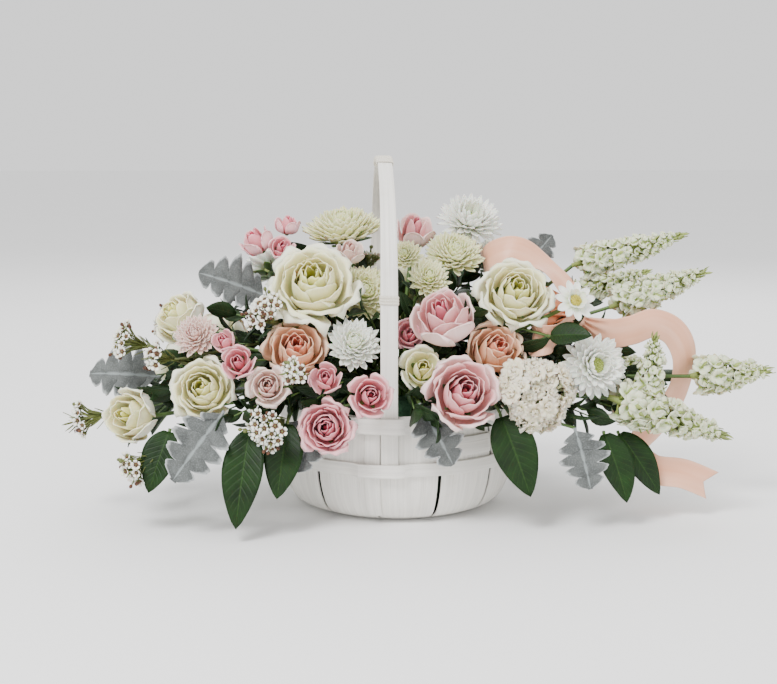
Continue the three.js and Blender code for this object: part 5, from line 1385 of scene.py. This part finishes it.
def hoop(name, node, low, high, inner, thickness):
    """A flat hoop round the wall: a strip with softly rounded long edges."""
    piece = Piece(name, [finish("whitewash", painted_splint_finish)], mm(thickness))

    def place(across, along):
        degrees = 360 * along
        z = lerp(low, high, (across + 1) / 2)
        return on_wall(inner(degrees, z) + thickness / 2, degrees, z)

    verts = piece.blade(4, 144, place, grain=((high - low) / 55, 6))
    bmesh.ops.remove_doubles(piece.bm, verts=verts, dist=1e-5)
    piece.done("whitewash", node, soft_edge_mm=0.4)


def make_hoops():
    hoop("basket_band_wood", "basket_band", 47, 59, lambda a, z: 113.3 + leg_bulge(a), 2.0)
    hoop("basket_rim_outer_wood", "basket_rim_outer", 86, 100, lambda a, z: wall_radius(86) + 1 + leg_bulge(a), 2.4)
    hoop("basket_rim_inner_wood", "basket_rim_inner", 88, 100, lambda a, z: 102.7, 2.4)

    def weaver(degrees, z):
        k = round((degrees - FIRST_SPLINT_ANGLE) / 30)
        off = abs(degrees - FIRST_SPLINT_ANGLE - 30 * k)
        k %= SPLINT_COUNT
        outside = 1.0 if k % 2 and k != SPLINT_COUNT - 1 else 0.0
        next_ = round((degrees - FIRST_SPLINT_ANGLE) / 30) + (1 if degrees > FIRST_SPLINT_ANGLE + 30 * round(
            (degrees - FIRST_SPLINT_ANGLE) / 30) else -1)
        next_ %= SPLINT_COUNT
        other = 1.0 if next_ % 2 and next_ != SPLINT_COUNT - 1 else 0.0
        side = lerp(outside, (outside + other) / 2, smoothstep(off, 13.0, 15.0))
        return wall_radius(z) + lerp(-SPLINT_THICKNESS - 0.4 - 1.6 - 0.9, 0.7, side)

    hoop("basket_weaver_wood", "basket_weaver", 63, 80, weaver, 1.6)


def handle_line():
    """The handle's middle line as (y, z) in mm: both legs and the bow between."""
    legs = [(wall_radius(48) + 2.2, 48), (114.7, 60), (wall_radius(80) + 2.2, 80), (110.6, 102), (108, 160)]
    top = HANDLE_TOP - 1.5 - HANDLE_SPRING
    bow = [(HANDLE_REACH * math.cos(math.pi * k / 10), HANDLE_SPRING + top * math.sin(math.pi * k / 10))
           for k in range(11)]
    return [Vector((0, -y, z)) for y, z in [*legs, *bow]] + [Vector((0, y, z)) for y, z in reversed(legs)]


def handle_frame(line, t):
    """The handle's middle at a share of its line, the way out of the bow there, and its taper."""
    centre = spline(line, t)
    tangent = (spline(line, min(1, t + 0.004)) - spline(line, max(0, t - 0.004))).normalized()
    return centre, Vector((0, -tangent.z, tangent.y)), lerp(1, 0.86, smoothstep(centre.z, BINDING_HEIGHT, HANDLE_TOP))


def wind_reed(name, node, low, high, turns, width, depth):
    """A reed wound round the handle in close turns between two shares of its line; width and depth in mm."""
    piece = Piece(name, [finish("reed", reed_finish)], sizes().reed_thickness)
    line = handle_line()
    reed = sizes().reed_thickness / MM

    def place(across, along):
        turn = along * turns
        centre, out, taper = handle_frame(line, lerp(low, high, (turn + 0.5 + 0.47 * across) / (turns + 1)))
        crown = 0.25 * (1 - across * across) - 0.5 * reed
        cosine, sine = math.cos(math.tau * turn - math.pi / 2), math.sin(math.tau * turn - math.pi / 2)
        x = math.copysign(abs(cosine) ** 0.4, cosine) * (width * taper / 2 + crown)
        return mm(Vector((HANDLE_X + x, 0, 0)) + centre + out * math.copysign(abs(sine) ** 0.4, sine) * (depth / 2 + crown))

    piece.blade(3, 24 * turns, place, grain=(1, 2 * turns))
    piece.done("reed", node)


def make_handle():
    line = handle_line()
    width = sizes().handle_width
    piece = Piece("handle_wood", [finish("whitewash", painted_splint_finish)], sizes().handle_thickness)

    def place(across, along):
        centre, _, taper = handle_frame(line, along)
        return mm(Vector((HANDLE_X, 0, 0)) + centre) + Vector((across * taper * width / 2, 0, 0))

    piece.blade(4, 160, place, grain=(0.28, 5))
    piece.done("whitewash", "handle", soft_edge_mm=0.7)

    def share(z, front):
        """The share of the line at a height, on one leg."""
        rest = [k / 2000 for k in range(2001) if (spline(line, k / 2000).y < 0) == front]
        return min(rest, key=lambda t: abs(spline(line, t).z - z))

    for side, front in (("front", True), ("back", False)):
        low, high = sorted((share(199.5, front), share(210.5, front)))
        wind_reed(f"handle_binding_{side}_reed", f"handle_binding_{side}", low, high, 3, 17.2, 4.7)
    wind_reed("handle_grip_wrap_reed", "handle_grip_wrap", 9 / 20, 11 / 20, 15, 18.2, 5.6)


def make_filling():
    for node, make in (("foam", foam_finish), ("liner", liner_finish)):
        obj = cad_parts[node]
        material = finish(node, make)
        if not obj.material_slots:
            obj.data.materials.append(material)
        for slot in obj.material_slots:
            slot.material = material


# ---------------------------------------------------------------- stage
def make_stage():
    f = Finish("floor_card", 0.9)
    tone = f.noise(f.place(), 3.0, 2.0)
    card = f.feed(Base_Color=f.mix(tone, (0.92, 0.92, 0.92), (0.95, 0.95, 0.95)))
    bm = bmesh.new()
    bmesh.ops.create_grid(bm, x_segments=1, y_segments=1, size=14.0, matrix=Matrix.Translation((0, 0, mm(-0.5))))
    mesh = bpy.data.meshes.new("floor")
    bm.to_mesh(mesh)
    bm.free()
    mesh.materials.append(card)
    floor = bpy.data.objects.new("floor", mesh)
    bpy.context.scene.collection.objects.link(floor)
    world = bpy.context.scene.world or bpy.data.worlds.new("studio")
    bpy.context.scene.world = world
    world.use_nodes = True
    world.node_tree.nodes["Background"].inputs["Color"].default_value = (1, 1, 1, 1)
    world.node_tree.nodes["Background"].inputs["Strength"].default_value = 1.25
    for name, place, size, power in (
        ("key_light", (-0.9, -1.5, 2.0), 0.8, 70.0),
        ("fill_light", (1.6, -1.2, 1.1), 1.6, 9.0),
        ("back_light", (0.4, 1.6, 1.6), 1.6, 26.0),
    ):
        light = bpy.data.lights.new(name, "AREA")
        light.size, light.energy = size, power
        holder = bpy.data.objects.new(name, light)
        holder.location = place
        holder.rotation_euler = (Vector((0, 0, 0.12)) - Vector(place)).to_track_quat("-Z", "Y").to_euler()
        bpy.context.scene.collection.objects.link(holder)
    view = bpy.context.scene.studio_view
    away = Vector((math.sin(view.azimuth) * math.cos(view.elevation),
                   -math.cos(view.azimuth) * math.cos(view.elevation), math.sin(view.elevation)))
    camera = bpy.data.objects.new("camera", bpy.data.cameras.new("camera"))
    camera.location = mm((-8, 0, 153)) + away * view.distance
    camera.rotation_euler = (-away).to_track_quat("-Z", "Y").to_euler()
    camera.data.lens = view.lens
    bpy.context.scene.collection.objects.link(camera)
    bpy.context.scene.camera = camera


# ---------------------------------------------------------------- the add-on
def length_property(name, description, default):
    return FloatProperty(name=name, description=description, default=default, min=0.0001, unit="LENGTH", precision=4)


def color_property(name, description, default):
    return FloatVectorProperty(name=name, description=description, default=default, min=0.0, max=1.0,
                               subtype="COLOR")


class BasketSizes(bpy.types.PropertyGroup):
    """The sizes that a user would change."""
    splint_thickness: length_property("Splint thickness", "Thickness of the wide upright splints", 0.002)
    handle_width: length_property("Handle width", "Width of the handle's strap at its legs", 0.0155)
    handle_thickness: length_property("Handle thickness", "Thickness of the handle's strap", 0.003)
    reed_thickness: length_property("Reed thickness", "Thickness of the reed wound round the handle", 0.0008)
    ribbon_width: length_property("Ribbon width", "Width of the satin ribbon", 0.027)
    petal_thickness: length_property("Petal thickness", "Thickness of a rose petal", 0.0005)
    leaf_thickness: length_property("Leaf thickness", "Thickness of a broad leaf", 0.0006)


class FlowerColors(bpy.types.PropertyGroup):
    """The main colours of the petals, leaves, ribbon and paint."""
    cream: color_property("Cream roses", "Main colour of their petals", (0.86, 0.82, 0.50))
    white: color_property("White blooms", "Main colour of their petals", (0.86, 0.87, 0.76))
    blush: color_property("Blush blooms", "Main colour of their petals", (0.76, 0.54, 0.47))
    pink: color_property("Pink roses", "Main colour of their petals", (0.82, 0.42, 0.42))
    rose_pink: color_property("Pink spray roses", "Main colour of their petals", (0.78, 0.30, 0.34))
    peach: color_property("Peach roses", "Main colour of their petals", (0.82, 0.48, 0.30))
    green_cream: color_property("Green-cream blooms", "Main colour of their petals", (0.74, 0.73, 0.38))
    wax: color_property("Wax flower", "Main colour of their petals", (0.84, 0.81, 0.68))
    spike: color_property("Flower spikes", "Main colour of their petals", (0.70, 0.73, 0.47))
    stock: color_property("Stock", "Main colour of their petals", (0.84, 0.76, 0.57))
    broad_leaf: color_property("Broad leaves", "Lit green of the broad leaves", (0.009, 0.037, 0.004))
    silver_leaf: color_property("Dusty miller", "Felted grey of the lobed leaves", (0.120, 0.130, 0.125))
    stem: color_property("Stems", "Pale green of the stems", (0.11, 0.20, 0.045))
    ribbon: color_property("Ribbon", "Peach of the satin", (0.88, 0.52, 0.36))
    paint: color_property("Paint", "Whitewash of the basket", (0.90, 0.875, 0.815))


class StudioView(bpy.types.PropertyGroup):
    """Where the camera stands."""
    azimuth: FloatProperty(name="Azimuth", description="Turn of the camera from the front",
                           default=math.radians(-3), subtype="ANGLE")
    elevation: FloatProperty(name="Elevation", description="Climb of the camera above level",
                             default=math.radians(8), subtype="ANGLE")
    distance: length_property("Distance", "From the camera to the point it looks at", 1.4)
    lens: FloatProperty(name="Lens", description="Focal length of the camera in mm", default=67.6, min=10.0)


class FLOWERBASKET_OT_stage(bpy.types.Operator):
    """Add the floor, the lights and the camera"""
    bl_idname = "flowerbasket.stage"
    bl_label = "Stage"

    def execute(self, context):
        make_stage()
        return {"FINISHED"}


class FLOWERBASKET_OT_ribbon(bpy.types.Operator):
    """Make the satin bow with its three runs and its knot"""
    bl_idname = "flowerbasket.ribbon"
    bl_label = "Ribbon bow"

    def execute(self, context):
        make_ribbon()
        return {"FINISHED"}


class FLOWERBASKET_OT_splints(bpy.types.Operator):
    """Make the twelve bent splints, the base disc and the narrow slat"""
    bl_idname = "flowerbasket.splints"
    bl_label = "Splints"

    def execute(self, context):
        make_splints()
        return {"FINISHED"}


class FLOWERBASKET_OT_hoops(bpy.types.Operator):
    """Make the band, the flat weaver and both rims"""
    bl_idname = "flowerbasket.hoops"
    bl_label = "Hoops"

    def execute(self, context):
        make_hoops()
        return {"FINISHED"}


class FLOWERBASKET_OT_handle(bpy.types.Operator):
    """Make the handle and wind its reed bindings"""
    bl_idname = "flowerbasket.handle"
    bl_label = "Handle"

    def execute(self, context):
        make_handle()
        return {"FINISHED"}


class FLOWERBASKET_OT_filling(bpy.types.Operator):
    """Finish the floral foam and the plastic liner"""
    bl_idname = "flowerbasket.filling"
    bl_label = "Foam and liner"

    def execute(self, context):
        make_filling()
        return {"FINISHED"}


class FLOWERBASKET_OT_roses(bpy.types.Operator):
    """Make the roses and spray roses, petal by petal"""
    bl_idname = "flowerbasket.roses"
    bl_label = "Roses"

    def execute(self, context):
        make_roses()
        return {"FINISHED"}


class FLOWERBASKET_OT_mums(bpy.types.Operator):
    """Make the double blooms from many strap petals"""
    bl_idname = "flowerbasket.mums"
    bl_label = "Chrysanthemums"

    def execute(self, context):
        make_mums()
        return {"FINISHED"}


class FLOWERBASKET_OT_rayed(bpy.types.Operator):
    """Make the spider bloom, the white bloom and the daisy"""
    bl_idname = "flowerbasket.rayed"
    bl_label = "Rayed blooms"

    def execute(self, context):
        make_rayed()
        return {"FINISHED"}


class FLOWERBASKET_OT_stock(bpy.types.Operator):
    """Make the head of stock from frilled florets"""
    bl_idname = "flowerbasket.stock"
    bl_label = "Stock"

    def execute(self, context):
        make_stock()
        return {"FINISHED"}


class FLOWERBASKET_OT_spikes(bpy.types.Operator):
    """Make the flower spikes with their bracts and florets"""
    bl_idname = "flowerbasket.spikes"
    bl_label = "Flower spikes"

    def execute(self, context):
        make_spikes()
        return {"FINISHED"}


class FLOWERBASKET_OT_wax_flower(bpy.types.Operator):
    """Make the sprays of small wax flowers, buds and needles"""
    bl_idname = "flowerbasket.wax_flower"
    bl_label = "Wax flower"

    def execute(self, context):
        make_wax()
        return {"FINISHED"}


class FLOWERBASKET_OT_broad_leaves(bpy.types.Operator):
    """Make the broad dark leaves low over the rim"""
    bl_idname = "flowerbasket.broad_leaves"
    bl_label = "Broad leaves"

    def execute(self, context):
        make_broad_leaves()
        return {"FINISHED"}


class FLOWERBASKET_OT_dusty_miller(bpy.types.Operator):
    """Make the lobed silver leaves"""
    bl_idname = "flowerbasket.dusty_miller"
    bl_label = "Dusty miller"

    def execute(self, context):
        make_dusty_miller()
        return {"FINISHED"}


class FLOWERBASKET_OT_filler(bpy.types.Operator):
    """Make the leafy sprigs that close the gaps between the blooms"""
    bl_idname = "flowerbasket.filler"
    bl_label = "Filler sprigs"

    def execute(self, context):
        make_filler()
        return {"FINISHED"}


OPERATORS = [
    FLOWERBASKET_OT_stage, FLOWERBASKET_OT_ribbon, FLOWERBASKET_OT_splints, FLOWERBASKET_OT_hoops,
    FLOWERBASKET_OT_handle, FLOWERBASKET_OT_filling, FLOWERBASKET_OT_roses, FLOWERBASKET_OT_mums,
    FLOWERBASKET_OT_rayed, FLOWERBASKET_OT_stock, FLOWERBASKET_OT_spikes, FLOWERBASKET_OT_wax_flower,
    FLOWERBASKET_OT_broad_leaves, FLOWERBASKET_OT_dusty_miller, FLOWERBASKET_OT_filler,
]


class FLOWERBASKET_PT_panel(bpy.types.Panel):
    """Lists the settings and the pieces that can be made"""
    bl_label = "Flower basket"
    bl_idname = "FLOWERBASKET_PT_panel"
    bl_space_type = "VIEW_3D"
    bl_region_type = "UI"
    bl_category = "Flower basket"

    def draw(self, context):
        for name in SETTINGS:
            group = getattr(context.scene, name)
            for key in group.__annotations__:
                self.layout.prop(group, key)
        for kind in OPERATORS:
            self.layout.operator(kind.bl_idname)


SETTINGS = {"basket_sizes": BasketSizes, "flower_colors": FlowerColors, "studio_view": StudioView}
CLASSES = [*SETTINGS.values(), *OPERATORS, FLOWERBASKET_PT_panel]


def register():
    for kind in CLASSES:
        bpy.utils.register_class(kind)
    for name, kind in SETTINGS.items():
        setattr(bpy.types.Scene, name, PointerProperty(type=kind))


def unregister():
    for name in SETTINGS:
        delattr(bpy.types.Scene, name)
    for kind in reversed(CLASSES):
        bpy.utils.unregister_class(kind)


def main():
    register()
    for kind in OPERATORS:
        group, name = kind.bl_idname.split(".")
        getattr(getattr(bpy.ops, group), name)()


if __name__ == "__main__":
    main()
